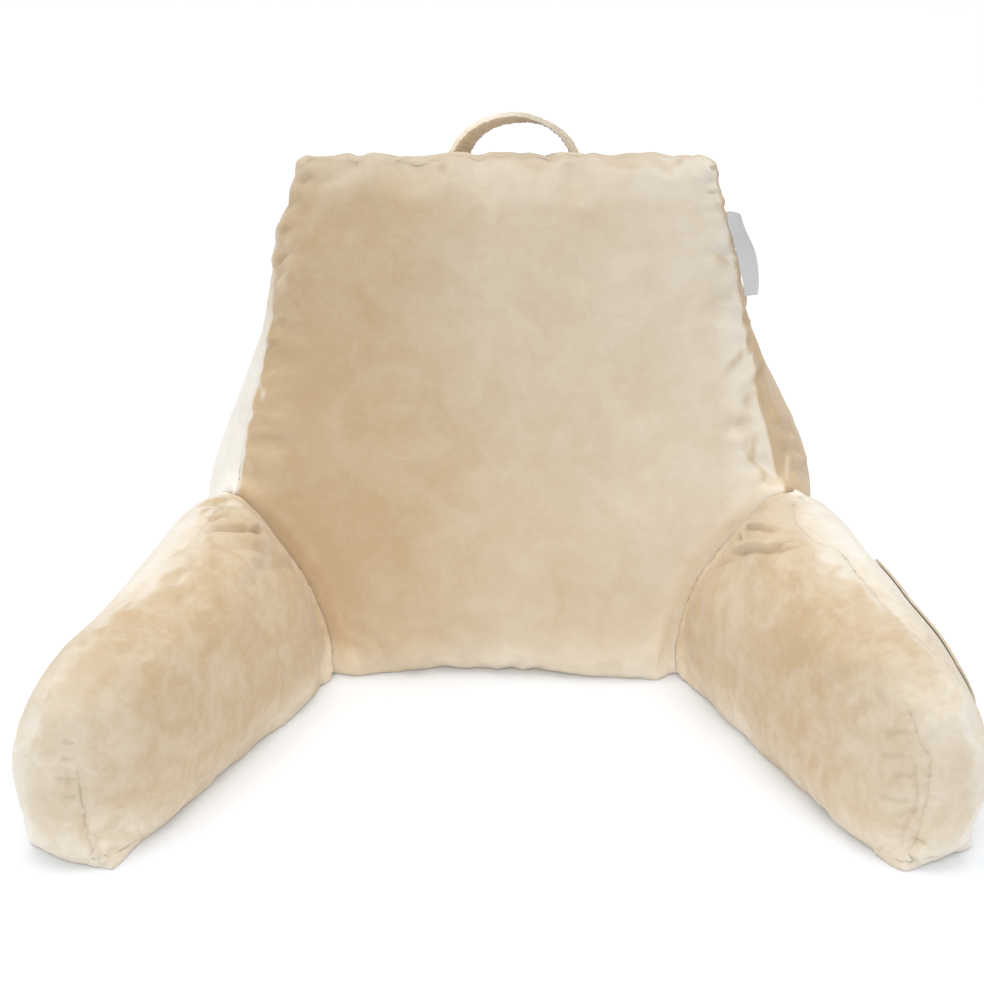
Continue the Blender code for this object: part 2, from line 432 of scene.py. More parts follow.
class Shader:
    """Builds one material's nodes around its Principled BSDF."""

    def __init__(self, name: str) -> None:
        """Starts a material.

        Args:
            name: The material's name.
        """
        self.material = bpy.data.materials.new(name)
        self.material.use_nodes = True
        self.tree = self.material.node_tree
        self.surface = self.tree.nodes["Principled BSDF"]

    def node(
        self, kind: str, settings: dict[str, object], inputs: dict[object, object], out: object = 0
    ) -> Signal:
        """Adds a node.

        Args:
            kind: The node's type.
            settings: Its settings by name, set before its sockets.
            inputs: Values or signals by the socket's name or number.
            out: The name or number of the output that is wanted.

        Returns:
            That output.
        """
        made = self.tree.nodes.new(kind)
        for name, value in settings.items():
            setattr(made, name, value)
        for name, value in inputs.items():
            if isinstance(value, Signal):
                self.tree.links.new(value.socket, made.inputs[name])
            else:
                made.inputs[name].default_value = value
        return Signal(self, made.outputs[out])

    def place(self, scale: Point = (1, 1, 1), shift: float = 0.0) -> Signal:
        """Reads the object's own coordinates.

        Args:
            scale: How much each axis is stretched, after the shift.
            shift: How far the pattern is moved along all three.

        Returns:
            The coordinates.
        """
        where = self.node("ShaderNodeTexCoord", {}, {}, "Object")
        moved = self.node("ShaderNodeMapping", {}, {"Vector": where, "Location": (shift,) * 3})
        return self.node("ShaderNodeVectorMath", {"operation": "MULTIPLY"}, {0: moved, 1: scale})

    def noise(
        self, at: Signal, scale: float, detail: float, rough: float = 0.5, warp: float = 0.0
    ) -> Signal:
        """Returns soft noise from 0 to 1 on these coordinates."""
        inputs = {"Vector": at, "Scale": scale, "Detail": detail, "Roughness": rough, "Distortion": warp}
        return self.node("ShaderNodeTexNoise", {}, inputs, "Fac")

    def between(self, value: Signal, low: float, high: float) -> Signal:
        """Returns a smooth step from 0 at low to 1 at high."""
        inputs = {"Value": value, "From Min": low, "From Max": high}
        return self.node("ShaderNodeMapRange", {"interpolation_type": "SMOOTHSTEP"}, inputs, "Result")

    def ramp(self, value: Signal, low: float, high: float) -> Signal:
        """Returns a straight ramp from 0 at low to 1 at high."""
        inputs = {"Value": value, "From Min": low, "From Max": high}
        return self.node("ShaderNodeMapRange", {}, inputs, "Result")

    def blend(self, share: object, first: object, second: object) -> Signal:
        """Returns the colour between two colours."""
        inputs = {"Factor": share, 6: first, 7: second}
        return self.node("ShaderNodeMix", {"data_type": "RGBA"}, inputs, 2)

    def times(self, colour: Signal, share: Signal) -> Signal:
        """Returns the colour, made darker or brighter by a share."""
        settings = {"data_type": "RGBA", "blend_type": "MULTIPLY"}
        return self.node("ShaderNodeMix", settings, {0: 1.0, 6: colour, 7: share}, 2)

    def stored(self, name: str) -> Signal:
        """Returns a number that is stored on the mesh."""
        return self.node("ShaderNodeAttribute", {"attribute_name": name}, {}, "Fac")

    def bump(self, height: Signal, distance: float, strength: float) -> Signal:
        """Returns a normal that is raised by a height."""
        inputs = {"Height": height, "Distance": distance, "Strength": strength}
        return self.node("ShaderNodeBump", {}, inputs, "Normal")

    def finish(self, links: dict[str, Signal], values: dict[str, object]) -> bpy.types.Material:
        """Sets the surface's sockets.

        Args:
            links: What varies over the surface, by socket.
            values: What is the same all over, by socket.

        Returns:
            The material.
        """
        for name, value in values.items():
            self.surface.inputs[name].default_value = value
        for name, signal in links.items():
            self.tree.links.new(signal.socket, self.surface.inputs[name])
        return self.material


@dataclass(frozen=True)
class Velour:
    """Short-pile velour: its tone lies as the mesh says, nap and painted light and sheen together, with
    mottles, streaks, dark seams, painted shade beside seams and in folds, and a painted light factor.
    """

    name: str
    deep: Colour = (0.480, 0.350, 0.212, 1)
    body: Colour = (0.565, 0.468, 0.340, 1)
    pale: Colour = (0.660, 0.592, 0.488, 1)
    # the palest colour, brushed pile and painted light together, reached where the tone is painted near
    # white
    brushed_and_lit: Colour = (0.720, 0.690, 0.630, 1)
    # the dark seam colour, also used for painted shade beside seams and in folds
    seam: Colour = (0.300, 0.210, 0.120, 1)
    mottle: float = 0.30
    mottle_size: float = 0.040
    streak: float = 0.10
    streak_scale: Point = (22, 70, 190)
    grain: float = 900.0
    pile: float = 2600.0
    seam_shade: float = 0.30
    painted_shade_beside_seam: float = 0.07
    fold_shade: float = 0.35
    relief: float = 0.0010
    seed: float = 0.0

    def material(self) -> bpy.types.Material:
        """Builds the pile: its tone with nap and painted light, mottles and streaks, its seams with painted
        shade beside them, painted shade in folds, the painted light factor, and its fine grain.

        Returns:
            The material.
        """
        shop = Shader(self.name)
        here = shop.place(shift=self.seed)
        broad = shop.noise(here, 0.35 / self.mottle_size, 1.0)
        patch = shop.noise(here, 1 / self.mottle_size, 2.5, 0.5, 0.9)
        small = shop.noise(here, 2.7 / self.mottle_size, 3.0, 0.55, 1.4)
        streaks = shop.noise(shop.place(self.streak_scale), 1.0, 3.0, 0.6)
        grain = shop.noise(here, self.grain, 2.0, 0.7)
        pile = shop.noise(here, self.pile, 1.0, 0.6)
        mottles = (shop.between(patch, 0.32, 0.68) - 0.5) * 0.62
        mottles = mottles + (shop.between(small, 0.35, 0.65) - 0.5) * 0.38
        level = shop.stored("tone") + mottles * self.mottle + (broad - 0.5) * (1.6 * self.mottle)
        level = level + (streaks - 0.5) * self.streak + (grain - 0.5) * 0.12
        cloth = shop.blend(shop.ramp(level, 0.0, 0.5), self.deep, self.body)
        cloth = shop.blend(shop.ramp(level, 0.5, 1.0), cloth, self.pale)
        cloth = shop.blend(shop.ramp(level, 1.0, 1.6), cloth, self.brushed_and_lit)
        line, strength = shop.stored("seam"), shop.stored("stitch")
        # painted shade in the groove beside each seam
        cloth = shop.blend(shop.between(line, 6.0, 0.5) * strength * self.painted_shade_beside_seam, cloth, self.seam)
        cloth = shop.blend(shop.between(line, 1.7, 0.2) * strength * self.seam_shade, cloth, self.seam)
        cloth = shop.blend(shop.stored("fold") * self.fold_shade, cloth, self.seam)
        # painted light: a factor that brightens or darkens the colour where the lamps fall unevenly
        cloth = shop.times(cloth, shop.stored("painted_light"))
        height = grain * 0.5 + pile * 0.35 + streaks * 0.35 + small * 0.5
        return shop.finish(
            {
                "Base Color": cloth,
                "Roughness": 0.82 + (patch - 0.5) * 0.16,
                "Normal": shop.bump(height, self.relief, 0.45),
            },
            {
                "Specular IOR Level": 0.10,
                "Sheen Weight": 0.30,
                "Sheen Roughness": 0.45,
                "Sheen Tint": (1.0, 0.97, 0.92, 1),
            },
        )


@dataclass(frozen=True)
class Tape:
    """A plain woven tape with a fine rib across it."""

    name: str
    colour: Colour = (0.56, 0.56, 0.57, 1)
    shade: Colour = (0.44, 0.44, 0.45, 1)
    rib: float = 0.0009

    def material(self) -> bpy.types.Material:
        """Builds the ribs and their wear.

        Returns:
            The material.
        """
        shop = Shader(self.name)
        ribs = shop.node(
            "ShaderNodeTexWave",
            {"wave_type": "BANDS", "bands_direction": "Z"},
            {"Vector": shop.place(), "Scale": 0.32 / self.rib, "Distortion": 1.0, "Detail": 1.0},
            "Fac",
        )
        worn = shop.noise(shop.place(), 60.0, 3.0)
        colour = shop.blend(ribs * 0.35 + worn * 0.25, self.colour, self.shade)
        return shop.finish(
            {"Base Color": colour, "Roughness": 0.45 + worn * 0.25, "Normal": shop.bump(ribs, 0.0003, 0.5)},
            {"Specular IOR Level": 0.35, "Sheen Weight": 0.1},
        )


@dataclass(frozen=True)
class Thread:
    """Spun sewing thread."""

    name: str
    colour: Colour = (0.74, 0.67, 0.55, 1)
    shade: Colour = (0.52, 0.43, 0.31, 1)

    def material(self) -> bpy.types.Material:
        """Builds the twist of the yarn.

        Returns:
            The material.
        """
        shop = Shader(self.name)
        twist = shop.noise(shop.place(), 1600.0, 2.0)
        colour = shop.blend(twist, self.shade, self.colour)
        return shop.finish(
            {"Base Color": colour, "Roughness": 0.5 + twist * 0.2, "Normal": shop.bump(twist, 0.0002, 0.6)},
            {"Specular IOR Level": 0.3},
        )


# ---------------------------------------------------------------- stuffed pieces


class Reach(Enum):
    """How far a fold reaches to each side of its line, in metres."""

    FINE = 0.0022
    SHARP = 0.0032
    SOFT = 0.0065
    BROAD = 0.013


@dataclass
class Crease:
    """A fold that runs over a panel, with a ridge along the left of its line."""

    line: Line
    depth: float
    reach: Reach = Reach.SHARP
    ridge: float = 0.5
    shade: float = 0.5
    ends: float = 0.22
    core: float = 0.55
    least_core: float = 0.0016

    def press(self, points: np.ndarray, normals: np.ndarray) -> tuple[np.ndarray, np.ndarray]:
        """Works out the fold's shape and its shade.

        Args:
            points: Rows x, y, z.
            normals: The skin's normals there.

        Returns:
            How far each point moves outwards, and how much painted shade its fold gets, from 0 to 1.
        """
        wide = self.reach.value
        distance, along, vector = self.line.nearest(points, wide * 5)
        length = self.line.length()
        fade = smooth(np.minimum(along, length - along), -0.0001, self.ends * length)
        side = np.sign((np.cross(normals, self.line.heading(along)) * vector).sum(axis=1))
        offset = distance * side
        moved = self.ridge * np.exp(-(((offset - 1.9 * wide) / wide) ** 2)) - np.exp(-((offset / wide) ** 2))
        core = max(self.core * wide, self.least_core)
        return self.depth * fade * moved, self.shade * fade * np.exp(-((offset / core) ** 2))


@dataclass
class Seam:
    """A sewn seam, drawn into the filling."""

    line: Line
    depth: float = 0.0024
    reach: float = 0.0055
    gathered: float = 1.0
    drawn: bool = True
    holds: bool = True
    shade: float = 1.0


@dataclass
class Bulge:
    """A soft lump of filling, or a hollow where its height is negative."""

    place: Point
    height: float
    reach: float


@dataclass
class Tuck:
    """A corner that is turned in, so that no tip of cloth stands out."""

    place: Point
    target: Point
    reach: float = 0.0075
    share: float = 0.95

    def pull(self, points: np.ndarray) -> np.ndarray:
        """Draws the points round the corner towards the target.

        Args:
            points: Rows x, y, z.

        Returns:
            Where they come to lie.
        """
        away = np.linalg.norm(points - np.array(self.place), axis=1)
        share = self.share * smooth(away, self.reach, 0.35 * self.reach)
        return points + share[:, None] * (np.array(self.target) - points)


@dataclass
class Gathers:
    """The uneven gathers that sewing leaves along a seam."""

    depth: float = 0.0022
    spacing: float = 0.026
    reach: float = 0.030
    slant: float = 0.35
    seed: int = 1

    def push(self, distance: np.ndarray, along: np.ndarray, length: float, seed: int) -> np.ndarray:
        """Works out how far the skin is drawn in.

        Args:
            distance: Each point's distance from the seam.
            along: Each point's place along the seam.
            length: The seam's length.
            seed: The seam's number on its piece.

        Returns:
            How far each point moves outwards, in metres; most of it is negative.
        """
        dice = np.random.default_rng(self.seed * 100 + seed)
        moved = np.zeros(len(distance))
        near = np.nonzero(distance < FAR)[0]
        distance, along = distance[near], along[near]
        place = self.spacing * dice.uniform(0.2, 0.9)
        while place < length:
            depth = self.depth * dice.uniform(0.35, 1.25)
            reach = self.reach * dice.uniform(0.5, 1.3)
            width = self.spacing * dice.uniform(0.13, 0.26)
            slant = self.slant * dice.uniform(-1.0, 1.0)
            offset = along - place - slant * distance
            valley = np.exp(-((offset / width) ** 2))
            ridge = 0.6 * np.exp(-(((offset - 1.9 * width) / width) ** 2))
            moved[near] -= depth * (valley - ridge) * np.exp(-((distance / reach) ** 1.4))
            place += self.spacing * dice.uniform(0.5, 1.5)
        return moved


@dataclass
class Stuffed:
    """A filled cushion, made from its solid: swollen cloth between seams, with gathers and creases."""

    node: str
    name: str
    finish: Velour
    cell: float = 0.0045
    seam_angle: float = math.radians(42)
    start_inside: float = 0.003
    pressure: float = 4.0
    slack: float = 0.03
    most_swell: float = 0.007
    fill: float = 0.8
    lump_depth: float = 0.0013
    lump_size: float = 0.06
    rim: float = 0.014
    rim_change: float = 0.4
    # painted light: how much brighter the colour is beside another piece, where its shade falls
    painted_light_beside: float = 0.15
    seed: float = 1.0
    carries: tuple[str, ...] = ()
    gathers: Gathers = field(default_factory=Gathers)
    seams: list[Seam] = field(default_factory=list)
    creases: list[Crease] = field(default_factory=list)
    bulges: list[Bulge] = field(default_factory=list)
    tucks: list[Tuck] = field(default_factory=list)

    def build(self, nodes: dict[str, bpy.types.Object]) -> bpy.types.Object:
        """Makes the piece and fits it to the frame.

        Args:
            nodes: The frame's solids by name.

        Returns:
            The finished piece.
        """
        piece = copy_solid(self.name, nodes[self.node])
        left_out = (self.node, *self.carries)
        others = skin_tree(*(solid for name, solid in nodes.items() if name not in left_out))
        outline = base_outline(piece)
        seams = self.all_seams(sewn_edges(piece, self.seam_angle))
        self.soften(piece)
        only(piece)
        piece.data.remesh_voxel_size = self.cell * 1
        bpy.ops.object.voxel_remesh()
        self.start_smaller(piece, others)
        self.swell(piece, seams, others)
        subdivide(piece, 1)
        self.tuck(piece, outline)
        self.sew(piece, seams, others)
        self.settle(piece)
        piece.data.shade_smooth()
        piece.data.materials.clear()
        piece.data.materials.append(self.finish.material())
        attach(piece, BODY)
        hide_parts(self.node)
        return piece

    def all_seams(self, edges: list[Line]) -> list[Seam]:
        """Returns the seams at the solid's edges together with the piece's own."""
        return [Seam(line, gathered=0.4) for line in edges] + self.seams

    def edge_crease(self, place: Vector) -> float:
        """Returns how sharp the solid's edge at this place stays, from 0 to 1."""
        return 0.7

    def room(self, points: np.ndarray, normals: np.ndarray) -> np.ndarray:
        """Returns how far each place of the skin may swell from where it starts, in metres."""
        return np.full(len(points), self.most_swell)

    def tone(self, points: np.ndarray, normals: np.ndarray) -> np.ndarray:
        """Returns each place's tone, nap and painted light together: 0 is the darker and 1 the paler."""
        return np.full(len(points), 0.5)

    def painted_light(self, points: np.ndarray, normals: np.ndarray) -> np.ndarray:
        """Returns the painted light at each place: a factor on the colour, about 1."""
        return np.ones(len(points))

    def soften(self, piece: bpy.types.Object) -> None:
        """Rounds the solid's edges, each by how sharp it stays.

        Args:
            piece: The solid's copy.
        """
        bm = bmesh.new()
        bm.from_mesh(piece.data)
        layer = bm.edges.layers.float.get("crease_edge") or bm.edges.layers.float.new("crease_edge")
        for edge in bm.edges:
            if edge.is_manifold and edge.calc_face_angle() > self.seam_angle:
                edge[layer] = self.edge_crease((edge.verts[0].co + edge.verts[1].co) / 2)
        bm.to_mesh(piece.data)
        bm.free()
        subdivide(piece, 2)

    def start_smaller(self, piece: bpy.types.Object, others: BVHTree) -> None:
        """Draws the skin in a little, except at its base and where another piece lies against it.

        Args:
            piece: The piece to shape.
            others: The skins of the pieces round it.
        """
        points, normals = points_of(piece), normals_of(piece)
        inward = self.start_inside * clearance(points, others) * smooth(points[:, 2], 0.002, 0.012)
        set_points(piece, points - normals * inward[:, None])

    def swell(self, piece: bpy.types.Object, seams: list[Seam], others: BVHTree) -> None:
        """Fills the cover by cloth simulation: its seams and base are held, and its panels swell.

        Args:
            piece: The piece to fill.
            seams: The seams that hold it.
            others: The skins of the pieces round it.
        """
        before, normals = points_of(piece), normals_of(piece)
        near = np.min([seam.line.nearest(before)[0] for seam in seams if seam.holds], axis=0)
        held = np.clip(1.25 - near / SEAM_HOLD, 0, 1)
        held = np.maximum(held, (before[:, 2] < BASE_HELD).astype(float))
        group = piece.vertex_groups.new(name="held")
        for index in np.nonzero(held > 0)[0]:
            group.add([int(index)], float(held[index]), "REPLACE")
        only(piece)
        cloth = piece.modifiers.new("Filling", "CLOTH")
        cloth.settings.quality = 4
        cloth.settings.mass = 0.25
        cloth.settings.tension_stiffness = 22
        cloth.settings.compression_stiffness = 12
        cloth.settings.shear_stiffness = 8
        cloth.settings.bending_stiffness = 0.8
        cloth.settings.air_damping = 3
        cloth.settings.use_pressure = True
        cloth.settings.uniform_pressure_force = self.pressure
        cloth.settings.shrink_min = -self.slack
        cloth.settings.vertex_group_mass = "held"
        cloth.settings.effector_weights.gravity = 0
        cloth.collision_settings.use_collision = False
        scene = bpy.context.scene
        for frame_number in range(FILL_FRAMES):
            scene.frame_set(frame_number + 1)
        bpy.ops.object.modifier_apply(modifier=cloth.name)
        scene.frame_set(1)
        move = points_of(piece) - before
        size = np.linalg.norm(move, axis=1)
        most = self.room(before, normals) * clearance(before, others)
        most = most / (1 + 0.25 * np.maximum(most, 0) / np.maximum(size, 1e-6))
        share = np.minimum(1, most / np.maximum(size, 1e-9))
        set_points(piece, before + move * share[:, None])
        piece.vertex_groups.clear()
        log.info("%s swelled by up to %.1f mm", self.name, 1000 * (size * share).max())

    def tuck(self, piece: bpy.types.Object, outline: Line) -> None:
        """Rounds the lower rim, so that the skin meets the floor a little under the bulge.

        Args:
            piece: The piece to shape.
            outline: The line round its solid's base.
        """
        points = points_of(piece)
        distance, along, vector = outline.nearest(points, RIM_FAR)
        heading = outline.heading(along)
        inward = np.stack([-heading[:, 1], heading[:, 0], np.zeros(len(points))], axis=1)
        inward = self.steady(inward, outline, points)
        depth = (vector * inward).sum(axis=1)
        radius = self.rim_radius(points, along)
        height = np.clip(points[:, 2], 0, radius)
        drawn = radius - np.sqrt(np.maximum(radius**2 - (radius - height) ** 2, 0))
        drawn *= np.clip(1 - depth / (3.2 * radius), 0, 1) * (distance < 0.055)
        for corner in corners_of(outline):
            drawn *= smooth(np.linalg.norm(points[:, :2] - corner[:2], axis=1), 0.004, 0.024)
        set_points(piece, points + inward * drawn[:, None])

    def steady(self, inward: np.ndarray, outline: Line, points: np.ndarray) -> np.ndarray:
        """Turns the inward directions gradually near the outline's corners.

        Args:
            inward: The directions across the nearest stretch of the outline.
            outline: The line round the base.
            points: The points they belong to.

        Returns:
            The smoothed directions, as rows of length 1.
        """
        length = outline.length()
        _, along, _ = outline.nearest(points, RIM_FAR)
        total = np.zeros_like(inward)
        for shift in np.linspace(-0.024, 0.024, 9):
            heading = outline.heading((along + shift) % length)
            total += np.stack([-heading[:, 1], heading[:, 0], np.zeros(len(points))], axis=1)
        size = np.linalg.norm(total, axis=1)[:, None]
        return np.where(size > 1e-6, total / np.maximum(size, 1e-6), inward)

    def rim_radius(self, points: np.ndarray, along: np.ndarray) -> np.ndarray:
        """Returns the lower rim's radius at each point, which wavers along it."""
        wave = np.sin(along / 0.013 + self.seed) * np.sin(along / 0.031 + 2 * self.seed)
        return self.rim * (1 + self.rim_change * wave)

    def sew(self, piece: bpy.types.Object, seams: list[Seam], others: BVHTree) -> None:
        """Draws in the seams, their gathers and the creases, and stores where they are for the material,
        with the tone and the painted light.

        Args:
            piece: The piece to shape.
            seams: The seams.
            others: The skins of the pieces round it.
        """
        tree = skin_tree(piece)
        points, normals = points_of(piece), normals_of(piece)
        tone = self.tone(points, normals)
        moved = self.lump_depth * lumps(points, self.lump_size, self.seed)
        moved += 0.35 * self.lump_depth * lumps(points, self.lump_size * 0.4, self.seed + 5)
        for bulge in self.bulges:
            away = np.linalg.norm(points - np.array(bulge.place), axis=1)
            moved += bulge.height * np.exp(-((away / bulge.reach) ** 2))
        nearest, strength = np.full(len(points), 1.0), np.ones(len(points))
        snap = np.zeros_like(points)
        half = 0.28 * self.cell
        for index, seam in enumerate(seams):
            distance, along, vector = seam.line.laid_on(tree).nearest(points)
            moved += seam.gathered * self.gathers.push(distance, along, seam.line.length(), index)
            moved -= seam.depth * np.exp(-((distance / seam.reach) ** 1.5))
            if seam.drawn:
                closer = (distance < nearest) & (distance < half)
                snap[closer] = -vector[closer]
                strength = np.where(distance < nearest, seam.shade, strength)
                nearest = np.minimum(nearest, np.where(distance < half, 0, distance))
        fold = np.zeros(len(points))
        for crease in self.creases:
            laid = replace(crease, line=crease.line.laid_on(tree))
            pushed, shade = laid.press(points, normals)
            moved += pushed
            fold = np.maximum(fold, shade)
        free = clearance(points, others)
        moved = np.where(moved > 0, moved * free, moved)
        set_points(piece, points + snap + normals * moved[:, None])
        write_attribute(piece, "seam", np.minimum(nearest, SEAM_SEEN) * 1000)
        write_attribute(piece, "stitch", strength)
        write_attribute(piece, "fold", fold)
        write_attribute(piece, "tone", tone)
        # painted light beside other pieces, against the shade they cast
        beside = 1 - clearance(points, others, 0.002, 0.028)
        write_attribute(piece, "painted_light", self.painted_light(points, normals) * (1 + self.painted_light_beside * beside))

    def settle(self, piece: bpy.types.Object) -> None:
        """Turns loose corners in, and keeps the skin on the floor.

        Args:
            piece: The piece to shape.
        """
        points = points_of(piece)
        for tuck in self.tucks:
            points = tuck.pull(points)
        points[:, 2] = np.maximum(points[:, 2], FLOOR_HEIGHT + FLOOR_GAP)
        set_points(piece, points)


def corners_of(outline: Line) -> list[np.ndarray]:
    """Finds where a closed outline turns sharply.

    Args:
        outline: The line round a base.

    Returns:
        One place a corner.
    """
    length = outline.length()
    walk = np.linspace(0, length, CORNER_STEPS, endpoint=False)
    ways = outline.heading(walk % length)
    steps = np.linalg.norm(np.diff(outline.points, axis=0), axis=1)
    total = np.concatenate([[0], np.cumsum(steps)])
    found: list[np.ndarray] = []
    for index, at in enumerate(walk):
        if ways[index] @ ways[(index + 4) % CORNER_STEPS] < math.cos(math.radians(35)):
            middle = (at + 2 * length / CORNER_STEPS) % length
            place = np.array([np.interp(middle, total, outline.points[:, k]) for k in range(3)])
            if all(np.linalg.norm(place - other) > 0.015 for other in found):
                found.append(place)
    return found


def clearance(points: np.ndarray, others: BVHTree, near: float = 0.0012, far: float = 0.016) -> np.ndarray:
    """Tells how free the skin is to swell.

    Args:
        points: Rows x, y, z.
        others: The skins of the pieces round it.
        near: The gap up to which it isn't free at all.
        far: The gap from which it is quite free.

    Returns:
        One share a point: 0 where another piece lies against it, and 1 well away.
    """
    gaps = np.array([others.find_nearest(Vector(point), 0.03)[3] or 1.0 for point in points])
    return smooth(gaps, near, far)


@dataclass
class BackCushion(Stuffed):
    """The leaning back cushion, whose face rolls over its upper edges to seams behind them."""

    roll: float = 0.015
    rim: float = 0.011

    def all_seams(self, edges: list[Line]) -> list[Seam]:
        """Moves the face's upper seams behind the rolled edges and gathers them most.

        Args:
            edges: The lines of the solid's sharp edges.

        Returns:
            The seams.
        """
        found = []
        for line in edges:
            points = line.points.copy()
            front = points[:, 1] < -0.105 + 0.386 * points[:, 2]
            upper = front & (points[:, 2] > 0.12)
            points[:, 1] += self.roll * smooth(points[:, 2], 0.125, 0.18) * front
            middle = points.mean(axis=0)
            gathered = 1.5 if upper.mean() > 0.5 else 0.35 if middle[2] < 0.05 else 0.7
            found.append(Seam(Line(points), gathered=gathered, drawn=middle[2] > 0.02))
        return found + self.seams

    def edge_crease(self, place: Vector) -> float:
        """The edge is sharp low down and round higher up."""
        return 0.6 - 0.6 * float(smooth(np.array(place.z), 0.06, 0.16))

    def room(self, points: np.ndarray, normals: np.ndarray) -> np.ndarray:
        """The face and rear swell freely, and the top and the upper sides only to the solid's outline.

        Args:
            points: Rows x, y, z.
            normals: The skin's normals there.

        Returns:
            How far each place may swell, in metres.
        """
        side = smooth(np.abs(normals[:, 0]), 0.45, 0.8) * smooth(points[:, 2], 0.10, 0.18)
        top = smooth(normals[:, 2], 0.5, 0.8)
        room = self.most_swell - (self.most_swell - 0.0032) * top
        return room - (room - 0.0050) * side

    def rim_radius(self, points: np.ndarray, along: np.ndarray) -> np.ndarray:
        """The front's rim is roundest in its middle, and notched by the seam's gathers.

        Args:
            points: Rows x, y, z.
            along: How far round the base each is; not used here.

        Returns:
            One radius a point, in metres.
        """
        x = points[:, 0]
        middle = smooth(x, -0.115, -0.075) * smooth(x, 0.10, 0.03)
        notches = sum(np.exp(-(((x - at) / 0.0075) ** 2)) for at in (-0.053, 0.026, 0.005))
        front = (points[:, 1] < -0.06).astype(float)
        return self.rim + front * (0.005 * middle + 0.007 * notches - 0.004 * (1 - middle))

    def tone(self, points: np.ndarray, normals: np.ndarray) -> np.ndarray:
        """The tone is darker on the sitter's right and paler on the left; painted sheen makes it palest at
        the edges, and painted light and shade, with the nap, make the left side panel near white low down
        and the right one darkest.

        Args:
            points: Rows x, y, z.
            normals: The skin's normals there.

        Returns:
            One share a point.
        """
        x, y, z = points.T
        face = smooth(-normals[:, 1], 0.35, 0.75)
        ramp = 0.08 + 0.44 * smooth(x, -0.12, 0.02) + 0.34 * smooth(x, 0.02, 0.22)
        ramp += 0.14 * smooth(z, 0.28, 0.40) * smooth(x, 0.10, -0.04)
        ramp -= 0.22 * smooth(z, 0.17, 0.06) * smooth(x, -0.02, 0.05)
        # painted sheen: paler along the top, bottom and right edges
        edge = 0.7 * smooth(z, 0.385, 0.425) + 0.9 * smooth(z, 0.050, 0.008)
        edge = edge + 0.7 * smooth(x - 0.215 + 0.10 * z, -0.012, 0.012)
        ramp += 0.42 * np.minimum(edge, 1)
        # painted light and shade with the nap: the left side panel pale, near white low down, the right one
        # darkest
        low_side = smooth(np.abs(normals[:, 0]), 0.5, 0.8)
        gusset = np.where(x < 0, 0.60 + 0.85 * smooth(z, 0.36, 0.22), 0.0)
        return ramp * (1 - low_side) * face + gusset * low_side + 0.55 * (1 - low_side) * (1 - face)

    def painted_light(self, points: np.ndarray, normals: np.ndarray) -> np.ndarray:
        """Painted light: the colour is brighter near the floor and darker higher up, to even out the lamps.
        """
        return 1.13 + 0.09 * smooth(points[:, 2], 0.06, 0.01) - 0.21 * smooth(points[:, 2], 0.05, 0.40)


@dataclass
class Arm(Stuffed):
    """One of the two arms, which reach forward and outward from the back."""

    rim: float = 0.010
    side: int = 1
    nap: float = 0.26
    # painted light on upward-facing skin
    painted_top_light: float = 0.15
    root: tuple[float, float] = (0.20, -0.10)
    cap: tuple[float, float] = (0.35, -0.40)

    def all_seams(self, edges: list[Line]) -> list[Seam]:
        """Keeps the solid's seams at the joint and near the floor, beside the arm's own.

        Args:
            edges: The lines of the solid's sharp edges.

        Returns:
            The seams.
        """
        found = []
        for line in edges:
            top = line.points[:, 2].max()
            if line.length() < 0.02 or (line.points[:, 1].max() < -0.30 and top > 0.01):
                continue
            if top > 0.05:
                found.append(Seam(line, depth=0.0016, gathered=0.35))
            else:
                found.append(Seam(line, depth=0.0012, gathered=0.3, drawn=False))
        return found + self.seams

    def edge_crease(self, place: Vector) -> float:
        """The joint's edge stays sharp, and the cap's is round."""
        return 0.0 if place.y < -0.28 and place.z > 0.01 else 0.7

    def tone(self, points: np.ndarray, normals: np.ndarray) -> np.ndarray:
        """The tone is darker on the inner panel and the top, and pale at the cap, the foot and outside;
        painted light makes forward-, outward- and upward-facing skin paler.

        Args:
            points: Rows x, y, z.
            normals: The skin's normals there.

        Returns:
            One share a point.
        """
        ahead = np.array([self.side * (self.cap[0] - self.root[0]), self.cap[1] - self.root[1]])
        length = float(np.linalg.norm(ahead))
        ahead /= length
        out = np.array([-self.side * ahead[1], self.side * ahead[0]])
        place = points[:, :2] - np.array([self.side * self.root[0], self.root[1]])
        along = place @ ahead / length
        outward = normals[:, :2] @ out
        facing = normals[:, :2] @ ahead
        # paler towards the cap; painted light makes forward-facing skin paler
        tone = self.nap + 0.30 * smooth(along, 0.72, 1.0) + 0.28 * smooth(facing, 0.35, 0.8)
        tone += 0.35 * smooth(points[:, 2], 0.055, 0.012)
        # painted light: outward-facing skin is paler, most towards the root
        tone += (0.35 + 0.65 * smooth(along, 0.85, 0.30)) * smooth(outward, -0.05, 0.38)
        # painted light: upward-facing skin is a little paler
        tone += self.painted_top_light * smooth(normals[:, 2], 0.7, 0.95)
        return tone

    def painted_light(self, points: np.ndarray, normals: np.ndarray) -> np.ndarray:
        """Painted light: the colour is a little darker on the cap's crown and brighter near the floor."""
        cap = smooth(points[:, 1], -0.22, -0.38) * smooth(points[:, 2], 0.03, 0.12)
        return 1.09 - 0.04 * cap + 0.08 * smooth(points[:, 2], 0.07, 0.02)


# ---------------------------------------------------------------- where the seams and folds run

SeamRow = tuple[list[Point], float, float, float]
CreaseRow = tuple[list[Point], float, Reach, float, float]
BulgeRow = tuple[Point, float, float]

